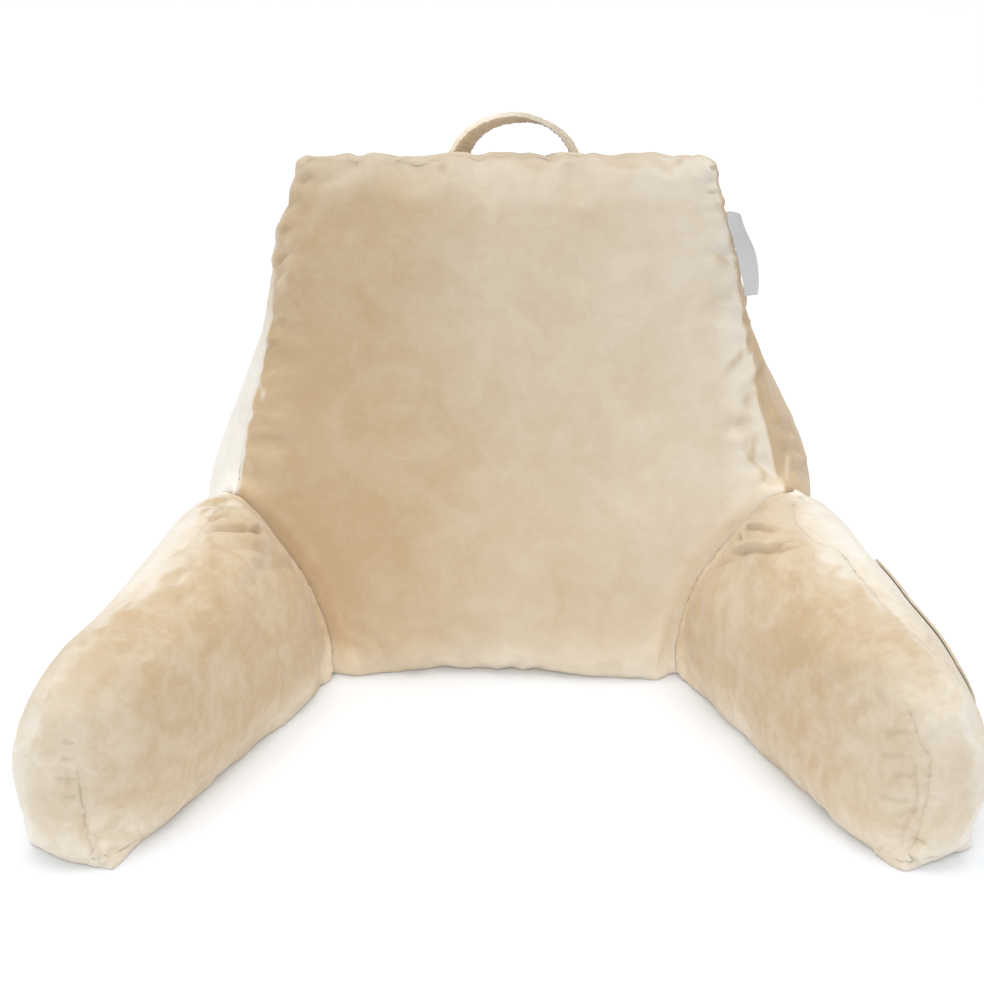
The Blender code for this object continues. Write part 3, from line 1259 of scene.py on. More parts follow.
# each seam's points, depth, gathers and shade
LEFT_SEAMS: list[SeamRow] = [
    (  # outer seam
        [
            (-0.235, -0.07, 0.159), (-0.252, -0.099, 0.172), (-0.252, -0.128, 0.177),
            (-0.26, -0.152, 0.177), (-0.272, -0.179, 0.176), (-0.29, -0.197, 0.17),
        ],
        0.0014, 0.4, 0.35,
    ),
    (  # cap seam lower
        [
            (-0.343, -0.404, 0.094), (-0.342, -0.405, 0.084), (-0.341, -0.406, 0.072),
            (-0.34, -0.406, 0.061), (-0.338, -0.406, 0.05), (-0.337, -0.407, 0.041),
            (-0.334, -0.407, 0.031), (-0.333, -0.406, 0.019), (-0.331, -0.405, 0.01),
        ],
        0.0014, 0.4, 0.60,
    ),
]

RIGHT_SEAMS: list[SeamRow] = [
    (  # outer seam
        [
            (0.248, -0.1, 0.172), (0.246, -0.121, 0.176), (0.246, -0.142, 0.178), (0.249, -0.157, 0.178),
            (0.255, -0.168, 0.178), (0.26, -0.177, 0.178), (0.267, -0.183, 0.178),
            (0.276, -0.183, 0.175), (0.285, -0.199, 0.174), (0.294, -0.227, 0.173),
            (0.308, -0.262, 0.172), (0.319, -0.29, 0.171), (0.333, -0.314, 0.169),
            (0.347, -0.331, 0.163),
        ],
        0.0014, 0.4, 0.60,
    ),
    (  # inner seam
        [
            (0.197, -0.144, 0.144), (0.204, -0.169, 0.153), (0.212, -0.189, 0.158),
            (0.22, -0.207, 0.161), (0.226, -0.221, 0.162), (0.234, -0.237, 0.162), (0.249, -0.267, 0.16),
            (0.264, -0.294, 0.158), (0.282, -0.322, 0.158), (0.296, -0.345, 0.154),
            (0.309, -0.364, 0.147), (0.315, -0.372, 0.141), (0.321, -0.379, 0.137),
        ],
        0.0010, 0.25, 0.0,
    ),
    (  # cap seam
        [
            (0.321, -0.379, 0.137), (0.325, -0.385, 0.13), (0.327, -0.389, 0.123),
            (0.329, -0.392, 0.117), (0.332, -0.396, 0.113), (0.337, -0.4, 0.105), (0.337, -0.402, 0.095),
            (0.337, -0.403, 0.084), (0.337, -0.403, 0.07), (0.335, -0.403, 0.06), (0.334, -0.403, 0.049),
            (0.332, -0.404, 0.039), (0.329, -0.404, 0.029), (0.324, -0.403, 0.017),
        ],
        0.0014, 0.4, 0.45,
    ),
    (  # gusset line
        [
            (0.255, -0.08, 0.166), (0.26, -0.102, 0.172), (0.269, -0.094, 0.166),
        ],
        0.0014, 0.3, 0.50,
    ),
]

# each fold's points, depth, reach, ridge and shade
LEFT_CREASES: list[CreaseRow] = [
    (  # fold a
        [
            (-0.261, -0.158, 0.177), (-0.252, -0.158, 0.178), (-0.24, -0.157, 0.178),
            (-0.228, -0.156, 0.177), (-0.219, -0.151, 0.173), (-0.213, -0.148, 0.169),
            (-0.207, -0.127, 0.155),
        ],
        0.0045, Reach.SHARP, 0.7, 1.0,
    ),
    (  # fold small1
        [
            (-0.254, -0.141, 0.177), (-0.246, -0.134, 0.177), (-0.234, -0.128, 0.176),
        ],
        0.003, Reach.FINE, 0.6, 0.6,
    ),
    (  # fold small2
        [
            (-0.251, -0.124, 0.176), (-0.244, -0.109, 0.174), (-0.238, -0.098, 0.17),
        ],
        0.003, Reach.FINE, 0.6, 0.6,
    ),
    (  # band b
        [
            (-0.262, -0.187, 0.178), (-0.246, -0.183, 0.178), (-0.23, -0.179, 0.176),
            (-0.218, -0.175, 0.171), (-0.209, -0.169, 0.163), (-0.203, -0.157, 0.152),
            (-0.194, -0.13, 0.135),
        ],
        0.003, Reach.SOFT, 0.6, 0.25,
    ),
    (  # soft c
        [
            (-0.272, -0.214, 0.178), (-0.26, -0.214, 0.178), (-0.246, -0.214, 0.177),
            (-0.236, -0.21, 0.174),
        ],
        0.0018, Reach.SOFT, 0.5, 0.15,
    ),
    (  # soft d
        [
            (-0.217, -0.201, 0.16), (-0.2, -0.166, 0.144), (-0.186, -0.129, 0.122),
            (-0.181, -0.103, 0.106),
        ],
        0.0024, Reach.SOFT, 0.5, 0.15,
    ),
    (  # soft e
        [
            (-0.222, -0.216, 0.158), (-0.216, -0.206, 0.152), (-0.207, -0.194, 0.142),
        ],
        0.0016, Reach.SOFT, 0.4, 0.1,
    ),
    (  # p1
        [
            (-0.363, -0.403, 0.09), (-0.351, -0.406, 0.089), (-0.342, -0.405, 0.088),
        ],
        0.0016, Reach.FINE, 0.5, 0.12,
    ),
    (  # p2
        [
            (-0.355, -0.398, 0.121), (-0.344, -0.399, 0.118),
        ],
        0.0016, Reach.FINE, 0.5, 0.12,
    ),
    (  # p4
        [
            (-0.357, -0.402, 0.107), (-0.345, -0.403, 0.105),
        ],
        0.0016, Reach.FINE, 0.5, 0.12,
    ),
    (  # p5
        [
            (-0.359, -0.406, 0.074), (-0.344, -0.406, 0.071),
        ],
        0.0016, Reach.FINE, 0.5, 0.12,
    ),
    (  # cap line2
        [
            (-0.352, -0.404, 0.101), (-0.351, -0.406, 0.089), (-0.352, -0.407, 0.079),
        ],
        0.0012, Reach.FINE, 0.4, 0.12,
    ),
    (  # cap line3
        [
            (-0.347, -0.408, 0.055), (-0.346, -0.408, 0.045), (-0.344, -0.408, 0.039),
        ],
        0.0012, Reach.FINE, 0.4, 0.12,
    ),
    (  # low fold
        [
            (-0.381, -0.395, 0.046), (-0.371, -0.4, 0.041), (-0.363, -0.401, 0.032),
        ],
        0.0016, Reach.SHARP, 0.5, 0.15,
    ),
    (  # ear
        [
            (-0.333, -0.403, 0.005), (-0.327, -0.404, 0.004), (-0.323, -0.405, 0.01),
        ],
        0.002, Reach.FINE, 0.5, 0.4,
    ),
    (  # ear side
        [
            (-0.324, -0.402, 0.02), (-0.32, -0.399, 0.015), (-0.313, -0.391, 0.012),
        ],
        0.002, Reach.FINE, 0.5, 0.12,
    ),
]

RIGHT_CREASES: list[CreaseRow] = [
    (  # fold a
        [
            (0.188, -0.12, 0.129), (0.196, -0.141, 0.143), (0.205, -0.16, 0.156), (0.216, -0.18, 0.168),
            (0.226, -0.186, 0.174), (0.233, -0.187, 0.176), (0.244, -0.187, 0.178),
            (0.257, -0.187, 0.179),
        ],
        0.003, Reach.SHARP, 0.9, 1.0,
    ),
    (  # fold b
        [
            (0.204, -0.1, 0.142), (0.213, -0.141, 0.168), (0.225, -0.156, 0.176), (0.241, -0.154, 0.178),
        ],
        0.002, Reach.FINE, 0.9, 0.8,
    ),
    (  # fold c
        [
            (0.199, -0.106, 0.14), (0.201, -0.13, 0.147), (0.197, -0.139, 0.144),
        ],
        0.0018, Reach.FINE, 0.9, 0.6,
    ),
    (  # fold d
        [
            (0.226, -0.187, 0.174), (0.233, -0.18, 0.177), (0.245, -0.18, 0.178),
        ],
        0.002, Reach.FINE, 0.9, 0.8,
    ),
    (  # fold e
        [
            (0.176, -0.133, 0.115), (0.181, -0.129, 0.122), (0.189, -0.136, 0.132),
            (0.198, -0.153, 0.144),
        ],
        0.002, Reach.SHARP, 0.5, 0.35,
    ),
    (  # soft f
        [
            (0.228, -0.209, 0.17), (0.245, -0.207, 0.177), (0.263, -0.208, 0.179),
            (0.276, -0.216, 0.178),
        ],
        0.002, Reach.SOFT, 0.5, 0.15,
    ),
    (  # cap line2
        [
            (0.324, -0.391, 0.106), (0.327, -0.395, 0.093), (0.329, -0.397, 0.079),
            (0.33, -0.399, 0.073), (0.33, -0.399, 0.064), (0.328, -0.398, 0.054), (0.325, -0.398, 0.045),
            (0.322, -0.397, 0.035), (0.32, -0.397, 0.023), (0.318, -0.398, 0.011),
        ],
        0.0018, Reach.FINE, 0.4, 0.35,
    ),
    (  # ring1
        [
            (0.261, -0.314, 0.109), (0.268, -0.319, 0.124), (0.278, -0.328, 0.137),
            (0.289, -0.339, 0.148), (0.299, -0.352, 0.149), (0.306, -0.362, 0.145),
        ],
        0.0022, Reach.SOFT, 0.5, 0.15,
    ),
    (  # ring2
        [
            (0.273, -0.334, 0.104), (0.277, -0.335, 0.119), (0.285, -0.341, 0.133),
            (0.295, -0.352, 0.14), (0.303, -0.363, 0.137), (0.309, -0.371, 0.131),
        ],
        0.0018, Reach.SOFT, 0.5, 0.12,
    ),
    (  # ring3
        [
            (0.287, -0.354, 0.11), (0.291, -0.354, 0.124), (0.299, -0.361, 0.132),
            (0.308, -0.371, 0.131),
        ],
        0.0016, Reach.SOFT, 0.5, 0.12,
    ),
    (  # p1
        [
            (0.3, -0.374, 0.093), (0.311, -0.383, 0.097), (0.321, -0.389, 0.103),
        ],
        0.0016, Reach.FINE, 0.5, 0.12,
    ),
    (  # p2
        [
            (0.304, -0.38, 0.058), (0.318, -0.39, 0.061), (0.328, -0.398, 0.065),
        ],
        0.0016, Reach.FINE, 0.5, 0.12,
    ),
    (  # p3
        [
            (0.312, -0.387, 0.043), (0.323, -0.395, 0.052), (0.335, -0.403, 0.059),
        ],
        0.0016, Reach.FINE, 0.5, 0.12,
    ),
    (  # p4
        [
            (0.324, -0.4, 0.027), (0.331, -0.405, 0.029), (0.339, -0.407, 0.029),
        ],
        0.0016, Reach.FINE, 0.5, 0.12,
    ),
    (  # p5
        [
            (0.303, -0.373, 0.11), (0.314, -0.38, 0.118), (0.326, -0.389, 0.121),
        ],
        0.0016, Reach.FINE, 0.5, 0.12,
    ),
    (  # p6
        [
            (0.31, -0.384, 0.078), (0.319, -0.39, 0.084), (0.329, -0.397, 0.086),
        ],
        0.0016, Reach.FINE, 0.5, 0.12,
    ),
    (  # ear
        [
            (0.315, -0.395, 0.004), (0.32, -0.4, 0.009), (0.327, -0.405, 0.01), (0.334, -0.405, 0.011),
        ],
        0.0022, Reach.FINE, 0.5, 0.45,
    ),
    (  # low side
        [
            (0.263, -0.311, 0.003), (0.271, -0.325, 0.005), (0.276, -0.333, 0.007),
        ],
        0.0016, Reach.SHARP, 0.5, 0.3,
    ),
]

BACK_CREASES: list[CreaseRow] = [
    (  # pucker l1
        [
            (-0.198, 0.022, 0.361), (-0.191, 0.022, 0.367), (-0.184, 0.023, 0.372),
        ],
        0.0018, Reach.SHARP, 0.8, 0.1,
    ),
    (  # pucker l2
        [
            (-0.198, 0.012, 0.338), (-0.193, 0.013, 0.345), (-0.187, 0.015, 0.352),
        ],
        0.0018, Reach.SHARP, 0.8, 0.1,
    ),
    (  # pucker l3
        [
            (-0.204, -0.008, 0.289), (-0.197, -0.009, 0.293), (-0.19, -0.008, 0.298),
        ],
        0.0018, Reach.SHARP, 0.8, 0.1,
    ),
    (  # pucker l4
        [
            (-0.213, -0.014, 0.269), (-0.206, -0.014, 0.274), (-0.198, -0.016, 0.277),
        ],
        0.0018, Reach.SHARP, 0.8, 0.1,
    ),
    (  # corner l
        [
            (-0.178, 0.038, 0.406), (-0.173, 0.039, 0.409), (-0.167, 0.04, 0.413),
        ],
        0.0028, Reach.SHARP, 0.6, 0.2,
    ),
    (  # notch 1
        [
            (-0.136, 0.048, 0.428), (-0.132, 0.047, 0.425), (-0.131, 0.044, 0.42),
        ],
        0.0028, Reach.SHARP, 0.6, 0.15,
    ),
    (  # notch 2
        [
            (-0.06, 0.044, 0.423), (-0.056, 0.042, 0.419), (-0.055, 0.038, 0.413),
        ],
        0.0028, Reach.SHARP, 0.6, 0.15,
    ),
    (  # notch 3
        [
            (0.151, 0.048, 0.426), (0.15, 0.045, 0.422), (0.148, 0.042, 0.417),
        ],
        0.0028, Reach.SHARP, 0.6, 0.15,
    ),
    (  # corner r
        [
            (0.18, 0.041, 0.41), (0.175, 0.039, 0.408), (0.17, 0.039, 0.407),
        ],
        0.0026, Reach.SHARP, 0.6, 0.15,
    ),
    (  # corner r2
        [
            (0.181, 0.036, 0.399), (0.177, 0.035, 0.399), (0.172, 0.035, 0.399),
        ],
        0.002, Reach.FINE, 0.6, 0.15,
    ),
    (  # edge r1
        [
            (0.198, 0, 0.313), (0.192, -0.001, 0.314), (0.185, -0.003, 0.313),
        ],
        0.0018, Reach.SHARP, 0.6, 0.12,
    ),
    (  # crease r1
        [
            (0.211, -0.042, 0.212), (0.201, -0.044, 0.213), (0.19, -0.046, 0.213),
        ],
        0.003, Reach.SOFT, 0.6, 0.15,
    ),
    (  # crease r2
        [
            (0.222, -0.032, 0.227), (0.213, -0.034, 0.231), (0.205, -0.035, 0.232),
        ],
        0.0026, Reach.SOFT, 0.6, 0.15,
    ),
    (  # crease r3
        [
            (0.235, -0.049, 0.181), (0.227, -0.052, 0.181), (0.219, -0.053, 0.183),
        ],
        0.0026, Reach.SOFT, 0.6, 0.15,
    ),
    (  # gusset r1
        [
            (0.242, -0.023, 0.195), (0.252, 0.021, 0.174), (0.262, 0.058, 0.15),
        ],
        0.004, Reach.SOFT, 0.5, 0.3,
    ),
    (  # gusset r2
        [
            (0.244, -0.035, 0.181), (0.256, 0.01, 0.161), (0.27, 0.059, 0.129),
        ],
        0.004, Reach.SOFT, 0.5, 0.35,
    ),
    (  # gusset r3
        [
            (0.246, -0.046, 0.167), (0.258, -0.012, 0.152), (0.277, 0.08, 0.095),
        ],
        0.003, Reach.SOFT, 0.5, 0.3,
    ),
    (  # bottom 1
        [
            (-0.067, -0.117, 0.004), (-0.065, -0.116, 0.012), (-0.064, -0.115, 0.02),
        ],
        0.003, Reach.SOFT, 0.5, 0.1,
    ),
    (  # bottom 2
        [
            (-0.035, -0.117, 0.004), (-0.037, -0.115, 0.014), (-0.039, -0.114, 0.023),
        ],
        0.0034, Reach.SOFT, 0.5, 0.1,
    ),
    (  # bottom 3
        [
            (0.012, -0.117, 0.004), (0.013, -0.116, 0.012), (0.015, -0.115, 0.02),
        ],
        0.0034, Reach.SOFT, 0.5, 0.1,
    ),
    (  # bottom 4
        [
            (-0.106, -0.117, 0.004), (-0.104, -0.115, 0.014), (-0.101, -0.114, 0.023),
        ],
        0.0024, Reach.SOFT, 0.5, 0.1,
    ),
    (  # bottom 5
        [
            (0.083, -0.117, 0.004), (0.084, -0.116, 0.012), (0.083, -0.115, 0.019),
        ],
        0.0024, Reach.SOFT, 0.5, 0.1,
    ),
    (  # vertical shade
        [
            (0.068, 0.024, 0.392), (0.068, 0.014, 0.373), (0.069, 0.002, 0.351), (0.071, -0.013, 0.319),
        ],
        0.0018, Reach.BROAD, 0.3, 0.0,
    ),
]

# each lump's place, height and reach
BACK_BULGES: list[BulgeRow] = [
    ((-0.176, 0.047, 0.422), 0.0050, 0.013),
    ((0.172, 0.047, 0.424), 0.0060, 0.016),
    ((-0.130, 0.056, 0.432), 0.0035, 0.022),
    ((0.060, 0.056, 0.432), 0.0045, 0.020),
    ((0.135, 0.056, 0.432), 0.0050, 0.026),
    ((-0.080, 0.056, 0.432), -0.0030, 0.024),
    ((-0.194, 0.020, 0.350), 0.0055, 0.042),
    ((0.184, 0.030, 0.390), 0.0045, 0.045),
    ((0.200, 0.020, 0.345), 0.0060, 0.040),
    ((-0.150, -0.120, 0.015), 0.0110, 0.040),
    ((-0.090, -0.120, 0.015), 0.0020, 0.035),
    ((-0.035, -0.120, 0.015), 0.0020, 0.040),
    ((0.025, -0.120, 0.015), 0.0025, 0.040),
    ((0.085, -0.120, 0.015), 0.0080, 0.040),
    ((0.145, -0.120, 0.012), 0.0120, 0.035),
]

LEFT_BULGES: list[BulgeRow] = [
    ((-0.350, -0.330, 0.150), 0.0055, 0.060),
    ((-0.385, -0.350, 0.060), 0.0010, 0.055),
    ((-0.370, -0.385, 0.020), 0.0040, 0.040),
    ((-0.303, -0.382, 0.018), 0.0045, 0.045),
    ((-0.270, -0.332, 0.018), 0.0025, 0.045),
    ((-0.237, -0.277, 0.018), 0.0040, 0.045),
    ((-0.204, -0.221, 0.018), 0.0020, 0.045),
    ((-0.178, -0.175, 0.018), 0.0070, 0.035),
]

RIGHT_BULGES: list[BulgeRow] = [
    ((0.325, -0.190, 0.120), 0.0065, 0.075),
    ((0.355, -0.280, 0.130), 0.0060, 0.050),
    ((0.365, -0.320, 0.080), 0.0040, 0.050),
    ((0.301, -0.391, 0.018), 0.0080, 0.045),
    ((0.273, -0.344, 0.018), 0.0080, 0.045),
    ((0.241, -0.292, 0.018), 0.0065, 0.045),
    ((0.209, -0.237, 0.018), 0.0060, 0.045),
    ((0.180, -0.188, 0.018), 0.0045, 0.035),
]


# ---------------------------------------------------------------- sheets


@dataclass
class Strap:
    """The handle: a stitched loop of doubled velour on the top panel."""

    finish: Velour
    thread: Thread
    name: str = "strap_handle"
    width: float = 1.0 * INCH
    thick: float = 0.16 * INCH
    left: float = -1.75 * INCH
    right: float = 2.5 * INCH
    deep: float = (8.7 - 4.975) * INCH
    foot: float = 15.0 * INCH
    rise: float = 2.45 * INCH
    rolls: Point = (math.radians(48), math.radians(38), math.radians(-14))
    rows: tuple[float, ...] = (-0.30, 0.30)
    stitch_pitch: float = 0.0034
    stitch_length: float = 0.0026
    thread_radius: float = 0.00048
    pull: float = 0.0009
    ruffle: float = 0.0009
    cells: tuple[int, int] = (140, 24)

    def line(self, share: np.ndarray, side: np.ndarray, lift: np.ndarray) -> np.ndarray:
        """Places points on the loop.

        Args:
            share: How far along the loop, from 0 at its left foot to 1.
            side: How far across its width, from -0.5 to 0.5.
            lift: How far out of the strap's middle, in metres.

        Returns:
            Rows x, y, z.
        """
        turn = math.pi * (1 - share)
        reach = (self.right - self.left) / 2 + lift
        rise = self.rise + lift
        roll = np.interp(share, (0, 0.5, 1), self.rolls)
        across = self.width * side
        x = (self.left + self.right) / 2 + (reach - np.sin(roll) * across) * np.cos(turn)
        y = self.deep + np.cos(roll) * across
        z = self.foot + rise * np.maximum(np.sin(turn), 0) ** 0.8 - np.sin(roll) * across * np.sin(turn)
        return np.stack([x, y, z], axis=1)

    def build(self) -> list[bpy.types.Object]:
        """Makes the strap and its stitches.

        Returns:
            The strap and the stitches.
        """
        bpy.ops.object.select_all(action="DESELECT")
        across, over = self.cells
        bpy.ops.mesh.primitive_grid_add(x_subdivisions=across, y_subdivisions=over, size=1)
        strap = bpy.context.object
        strap.name = self.name
        flat = points_of(strap)
        share, side = flat[:, 0] + 0.5, flat[:, 1]
        set_points(strap, self.line(share, side, self.puckers(share, side)))
        write_attribute(strap, "seam", np.full(len(flat), SEAM_SEEN * 1000))
        # painted sheen: paler along both edges of the strap
        write_attribute(strap, "tone", 0.45 + 0.55 * smooth(np.abs(side), 0.40, 0.48))
        # painted light: brighter on the left part of the loop, where its inner face is in shade
        write_attribute(strap, "painted_light", 0.95 + 0.30 * smooth(share, 0.60, 0.35))
        apply_modifier(strap, "SOLIDIFY", thickness=self.thick, offset=0)
        apply_modifier(strap, "BEVEL", width=0.0012, segments=3, **TURNED_EDGE)
        strap.data.shade_smooth()
        strap.data.materials.append(self.finish.material())
        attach(strap, BODY)
        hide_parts("carry_handle")
        stitches = self.stitch()
        self.flat_length()
        return [strap, stitches]

    def puckers(self, share: np.ndarray, side: np.ndarray) -> np.ndarray:
        """Works out how the doubled cloth is drawn in at its stitches and ruffled between them.

        Args:
            share: How far along the loop, from 0 to 1.
            side: How far across its width, from -0.5 to 0.5.

        Returns:
            How far each place stands off the strap's middle, in metres.
        """
        lift = 0.0006 * (1 - (2 * side) ** 4)
        for row in self.rows:
            lift -= self.pull * np.exp(-(((side - row) / 0.045) ** 2))
        wave = np.sin(share * 150 + 5 * side) * np.sin(share * 61 + 2)
        return lift + self.ruffle * wave * (1 - np.abs(side))

    def flat_length(self) -> float:
        """Returns the strap's length along its middle."""
        share = np.linspace(0, 1, 200)
        return Line(self.line(share, 0 * share, 0 * share)).length()

    def stitch(self) -> bpy.types.Object:
        """Makes the rows of stitches on both faces of the strap.

        Returns:
            The stitches, as one piece.
        """
        places = []
        share = np.linspace(0, 1, 400)
        for row in self.rows:
            across = np.full(len(share), row)
            for face in (1, -1):
                lift = self.puckers(share, across) + face * self.thick / 2
                places.extend(stitch_places(self.line(share, across, lift), self.stitch_pitch))
        stitches = make_stitches("strap_stitches", places, self.stitch_length, self.thread_radius)
        stitches.data.materials.append(self.thread.material())
        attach(stitches, BODY)
        return stitches


def stitch_places(path: np.ndarray, pitch: float) -> list[tuple[np.ndarray, np.ndarray]]:
    """Spaces stitches along a path.

    Args:
        path: Rows x, y, z, close together.
        pitch: From one stitch to the next, in metres.

    Returns:
        Each stitch's middle and direction.
    """
    steps = np.linalg.norm(np.diff(path, axis=0), axis=1)
    total = np.concatenate([[0], np.cumsum(steps)])
    found = []
    for at in np.arange(pitch / 2, total[-1], pitch):
        ends = (at, at + 0.0005)
        middle, ahead = (np.array([np.interp(end, total, path[:, k]) for k in range(3)]) for end in ends)
        found.append((middle, ahead - middle))
    return found


def make_stitches(
    name: str, places: list[tuple[np.ndarray, np.ndarray]], length: float, radius: float
) -> bpy.types.Object:
    """Makes one thread capsule and copies it to every place, as one object.

    Args:
        name: The object's name.
        places: Each stitch's middle and direction.
        length: A stitch's length, in metres.
        radius: The thread's radius, in metres.

    Returns:
        The stitches.
    """
    bpy.ops.object.select_all(action="DESELECT")
    bpy.ops.mesh.primitive_uv_sphere_add(segments=6, ring_count=5, radius=1)
    pattern = bpy.context.object
    shape = points_of(pattern) * (radius, radius, length / 2)
    faces = [tuple(polygon.vertices) for polygon in pattern.data.polygons]
    bpy.data.objects.remove(pattern, do_unlink=True)
    verts: list[Point] = []
    polygons: list[tuple[int, ...]] = []
    for middle, direction in places:
        turn = np.array(Vector(direction).to_track_quat("Z", "Y").to_matrix())
        start = len(verts)
        verts.extend(map(tuple, shape @ turn.T + middle))
        polygons.extend(tuple(start + index for index in face) for face in faces)
    mesh = bpy.data.meshes.new(name)
    mesh.from_pydata(verts, [], polygons)
    mesh.shade_smooth()
    stitches = bpy.data.objects.new(name, mesh)
    bpy.context.scene.collection.objects.link(stitches)
    return stitches


def height_over(tree: BVHTree, point: np.ndarray) -> tuple[float, np.ndarray]:
    """Returns how far a point stands off a skin, and the skin's normal there."""
    place, normal, _, _ = tree.find_nearest(Vector(point))
    return (Vector(point) - place).dot(normal), np.array(normal)


@dataclass
class FittedSheet:
    """A thin piece that keeps its solid's place: the pocket or the tag."""

    node: str
    carrier: str
    name: str
    slot: str
    flat: tuple[float, float]
    material: bpy.types.Material
    clearance: float = 0.0006
    thick: float = 0.002
    close: float = 1.0
    mouth: tuple[float, float] = (0.116, 0.142)
    tone: float = 0.6

    def build(self, nodes: dict[str, bpy.types.Object], over: bpy.types.Object) -> bpy.types.Object:
        """Makes the piece from its solid and keeps it off what it lies on.

        Args:
            nodes: The frame's solids by name.
            over: The stuffed piece that carries it.

        Returns:
            The piece.
        """
        piece = copy_solid(self.name, nodes[self.node])
        apply_modifier(piece, "BEVEL", width=0.0005, segments=2, **TURNED_EDGE)
        subdivide(piece, 2)
        under, tree = skin_tree(nodes[self.carrier]), skin_tree(over)
        points, faces = points_of(piece), normals_of(piece)
        for index, point in enumerate(points):
            lift, normal = height_over(tree, point)
            wanted = max(lift, self.clearance)
            if self.close < 1:
                layer = self.clearance + self.thick * min(max(0.5 + float(faces[index] @ normal), 0), 1)
                flare = self.close * float(smooth(point[2:], *self.mouth)[0])
                wanted = layer + max(height_over(under, point)[0] - layer, 0) * flare
            points[index] += normal * (wanted - lift)
        set_points(piece, points)
        piece.data.shade_smooth()
        plain = {"seam": SEAM_SEEN * 1000, "fold": 0.0, "tone": self.tone, "painted_light": 1.0}
        for name, value in plain.items():
            write_attribute(piece, name, np.full(len(points), value))
        piece.data.materials.clear()
        piece.data.materials.append(self.material)
        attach(piece, BODY)
        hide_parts(self.node)
        return piece


# ---------------------------------------------------------------- studio


@dataclass
class Studio:
    """A pale floor, soft lights and the camera."""

    lens: float = 125.4
    camera_place: Point = (-0.0123, -2.6603, 1.6563)
    camera_tilt: float = math.radians(60)
    floor_size: float = 14.0
    floor: Colour = (0.885, 0.91, 0.95, 1)
    world: float = 0.64

    def build(self) -> None:
        """Makes the camera, the lights and the floor."""
        self.make_camera()
        self.make_floor()
        self.make_light("top", (0.0, 0.3, 2.8), (0, 0, 0.1), 2.8, 46)
        self.make_light("left", (-2.4, 0.0, 1.3), (0, 0, 0.2), 1.8, 12)
        self.make_light("right", (2.4, -0.2, 1.5), (0, 0, 0.2), 1.8, 11)
        self.make_light("front", (-0.4, -3.2, 2.2), (0, 0, 0.15), 2.4, 37)
        world = bpy.data.worlds.new("studio")
        world.use_nodes = True
        sky = world.node_tree.nodes["Background"].inputs
        sky["Color"].default_value = (1, 1, 1, 1)
        sky["Strength"].default_value = self.world
        bpy.context.scene.world = world
        bpy.context.scene.view_settings.view_transform = "Standard"

    def make_camera(self) -> None:
        """Makes the camera at the photograph's viewing angle."""
        data = bpy.data.cameras.new("camera")
        data.lens = self.lens
        data.sensor_width = 36
        data.clip_end = 30
        camera = bpy.data.objects.new("camera", data)
        camera.location = self.camera_place
        camera.rotation_euler = (self.camera_tilt, 0, 0)
        bpy.context.scene.collection.objects.link(camera)
        bpy.context.scene.camera = camera

    def make_floor(self) -> None:
        """Makes a plain pale floor."""
        bpy.ops.object.select_all(action="DESELECT")
        bpy.ops.mesh.primitive_plane_add(size=self.floor_size, location=(0, 0, FLOOR_HEIGHT))
        floor = bpy.context.object
        floor.name = "floor"
        shop = Shader("pale_floor")
        floor.data.materials.append(shop.finish({}, {"Base Color": self.floor, "Roughness": 0.9}))

    def make_light(self, name: str, place: Point, aim: Point, size: float, power: float) -> None:
        """Makes a soft light.

        Args:
            name: Its name.
            place: Where it stands, in metres.
            aim: What it points at.
            size: The side of its square, in metres.
            power: Its power, in watts.
        """
        data = bpy.data.lights.new(name, "AREA")
        data.size = size
        data.energy = power
        light = bpy.data.objects.new(name, data)
        light.location = place
        light.rotation_euler = (Vector(aim) - Vector(place)).to_track_quat("-Z", "Y").to_euler()
        bpy.context.scene.collection.objects.link(light)


def creases_of(table: list[CreaseRow], firm: float = 1.0, core: float = 0.55) -> list[Crease]:
    """Turns a table into creases.

    Args:
        table: Each fold's points, depth, reach, ridge and shade.
        firm: A factor on every depth and shade.
        core: How much of a fold's reach its dark core takes.

    Returns:
        The creases.
    """
    return [
        Crease(smooth_line(points), depth * firm, reach, ridge, shade * firm, core=core)
        for points, depth, reach, ridge, shade in table
    ]


def seams_of(table: list[SeamRow]) -> list[Seam]:
    """Turns a table into seams, of which those with a shade are drawn.

    Args:
        table: Each seam's points, depth, gathers and shade.

    Returns:
        The seams.
    """
    return [
        Seam(smooth_line(points), depth, 0.0045, gathered, drawn=shade > 0, holds=False, shade=shade)
        for points, depth, gathered, shade in table
    ]


def bulges_of(table: list[BulgeRow]) -> list[Bulge]:
    """Returns the bulges of a table."""
    return [Bulge(*row) for row in table]


def report(piece: bpy.types.Object) -> None:
    """Logs a finished piece and its size."""
    log.info("%s: %d faces", piece.name, len(piece.data.polygons))


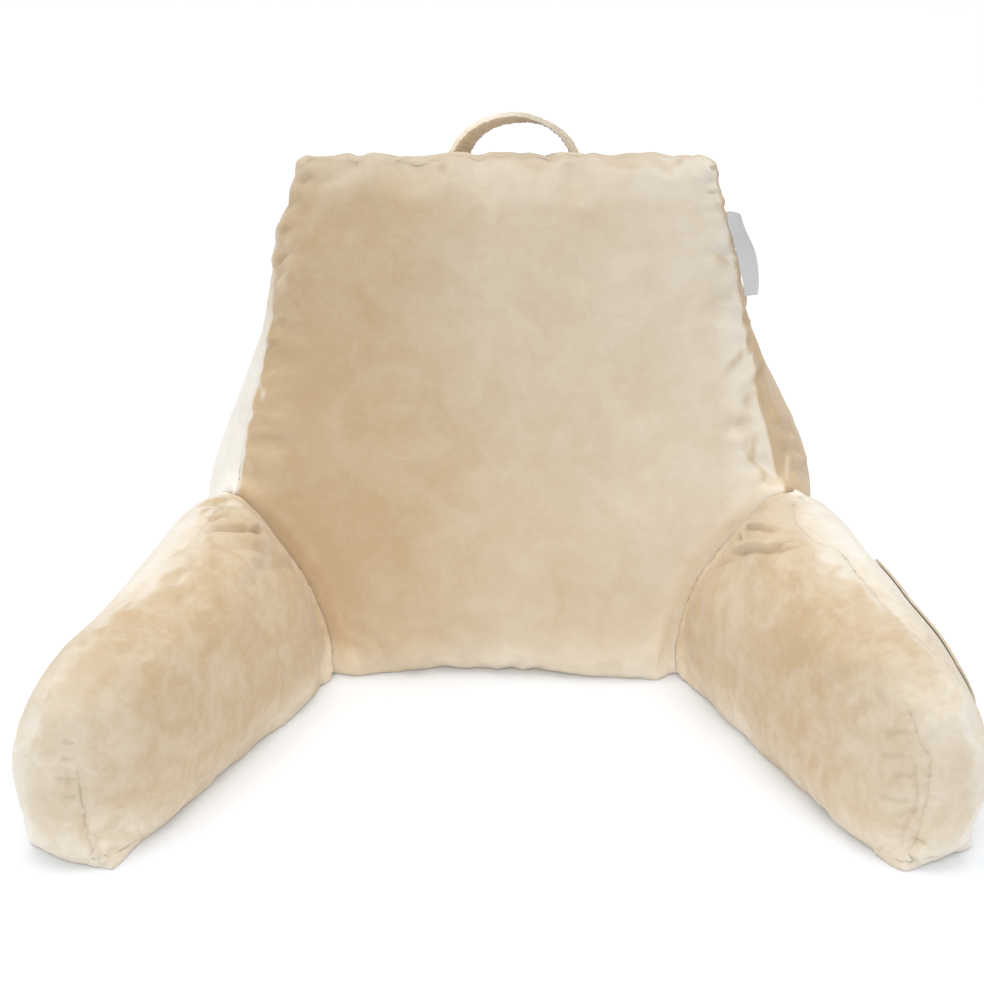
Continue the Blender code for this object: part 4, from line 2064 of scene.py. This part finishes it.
def main() -> None:
    """Builds every piece in order."""
    logging.basicConfig(level=logging.INFO, format="%(message)s", stream=sys.stdout)
    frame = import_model()
    nodes = frame["nodes"]
    Studio().build()
    back = BackCushion(
        "back_cushion",
        "back_pillow",
        Velour("velour_back", mottle=0.24, mottle_size=0.050),
        cell=0.0060,
        gathers=Gathers(depth=0.0021, spacing=0.030, reach=0.024),
        creases=creases_of(BACK_CREASES),
        bulges=bulges_of(BACK_BULGES),
        carries=("side_tag",),
    ).build(nodes)
    report(back)
    left = Arm(
        "arm_left",
        "arm_pillow_left",
        Velour("velour_arm_left", mottle=0.40, seed=3.0),
        side=-1,
        nap=0.16,
        painted_top_light=0.06,
        seed=4.0,
        most_swell=0.010,
        gathers=Gathers(depth=0.0020, spacing=0.020, reach=0.020, seed=2),
        seams=seams_of(LEFT_SEAMS),
        creases=creases_of(LEFT_CREASES, 1.35, 0.35),
        tucks=[Tuck((-0.1505, -0.1200, 0.002), (-0.1550, -0.1200, 0.003))],
        bulges=bulges_of(LEFT_BULGES),
    ).build(nodes)
    report(left)
    right = Arm(
        "arm_right",
        "arm_pillow_right",
        Velour("velour_arm_right", mottle=0.40, seed=7.0),
        side=1,
        seed=9.0,
        most_swell=0.010,
        carries=("arm_pocket",),
        gathers=Gathers(depth=0.0020, spacing=0.020, reach=0.020, seed=3),
        seams=seams_of(RIGHT_SEAMS),
        creases=creases_of(RIGHT_CREASES, 1.15, 0.40),
        tucks=[Tuck((0.1490, -0.1203, 0.002), (0.1540, -0.1195, 0.003))],
        bulges=bulges_of(RIGHT_BULGES),
    ).build(nodes)
    report(right)
    for piece in Strap(Velour("velour_strap", mottle=0.25, mottle_size=0.015), Thread("thread")).build():
        report(piece)
    cloth = Velour("velour_pocket", seed=11.0).material()
    size = (0.163, 0.135)
    pocket = FittedSheet("arm_pocket", "arm_right", "pocket_patch", "velour", size, cloth, close=0.02)
    report(pocket.build(nodes, right))
    tape = Tape("grey_tape").material()
    tag = FittedSheet("side_tag", "back_cushion", "blank_tag", "tape", (0.018, 0.068), tape)
    report(tag.build(nodes, back))


if __name__ == "__main__":
    main()
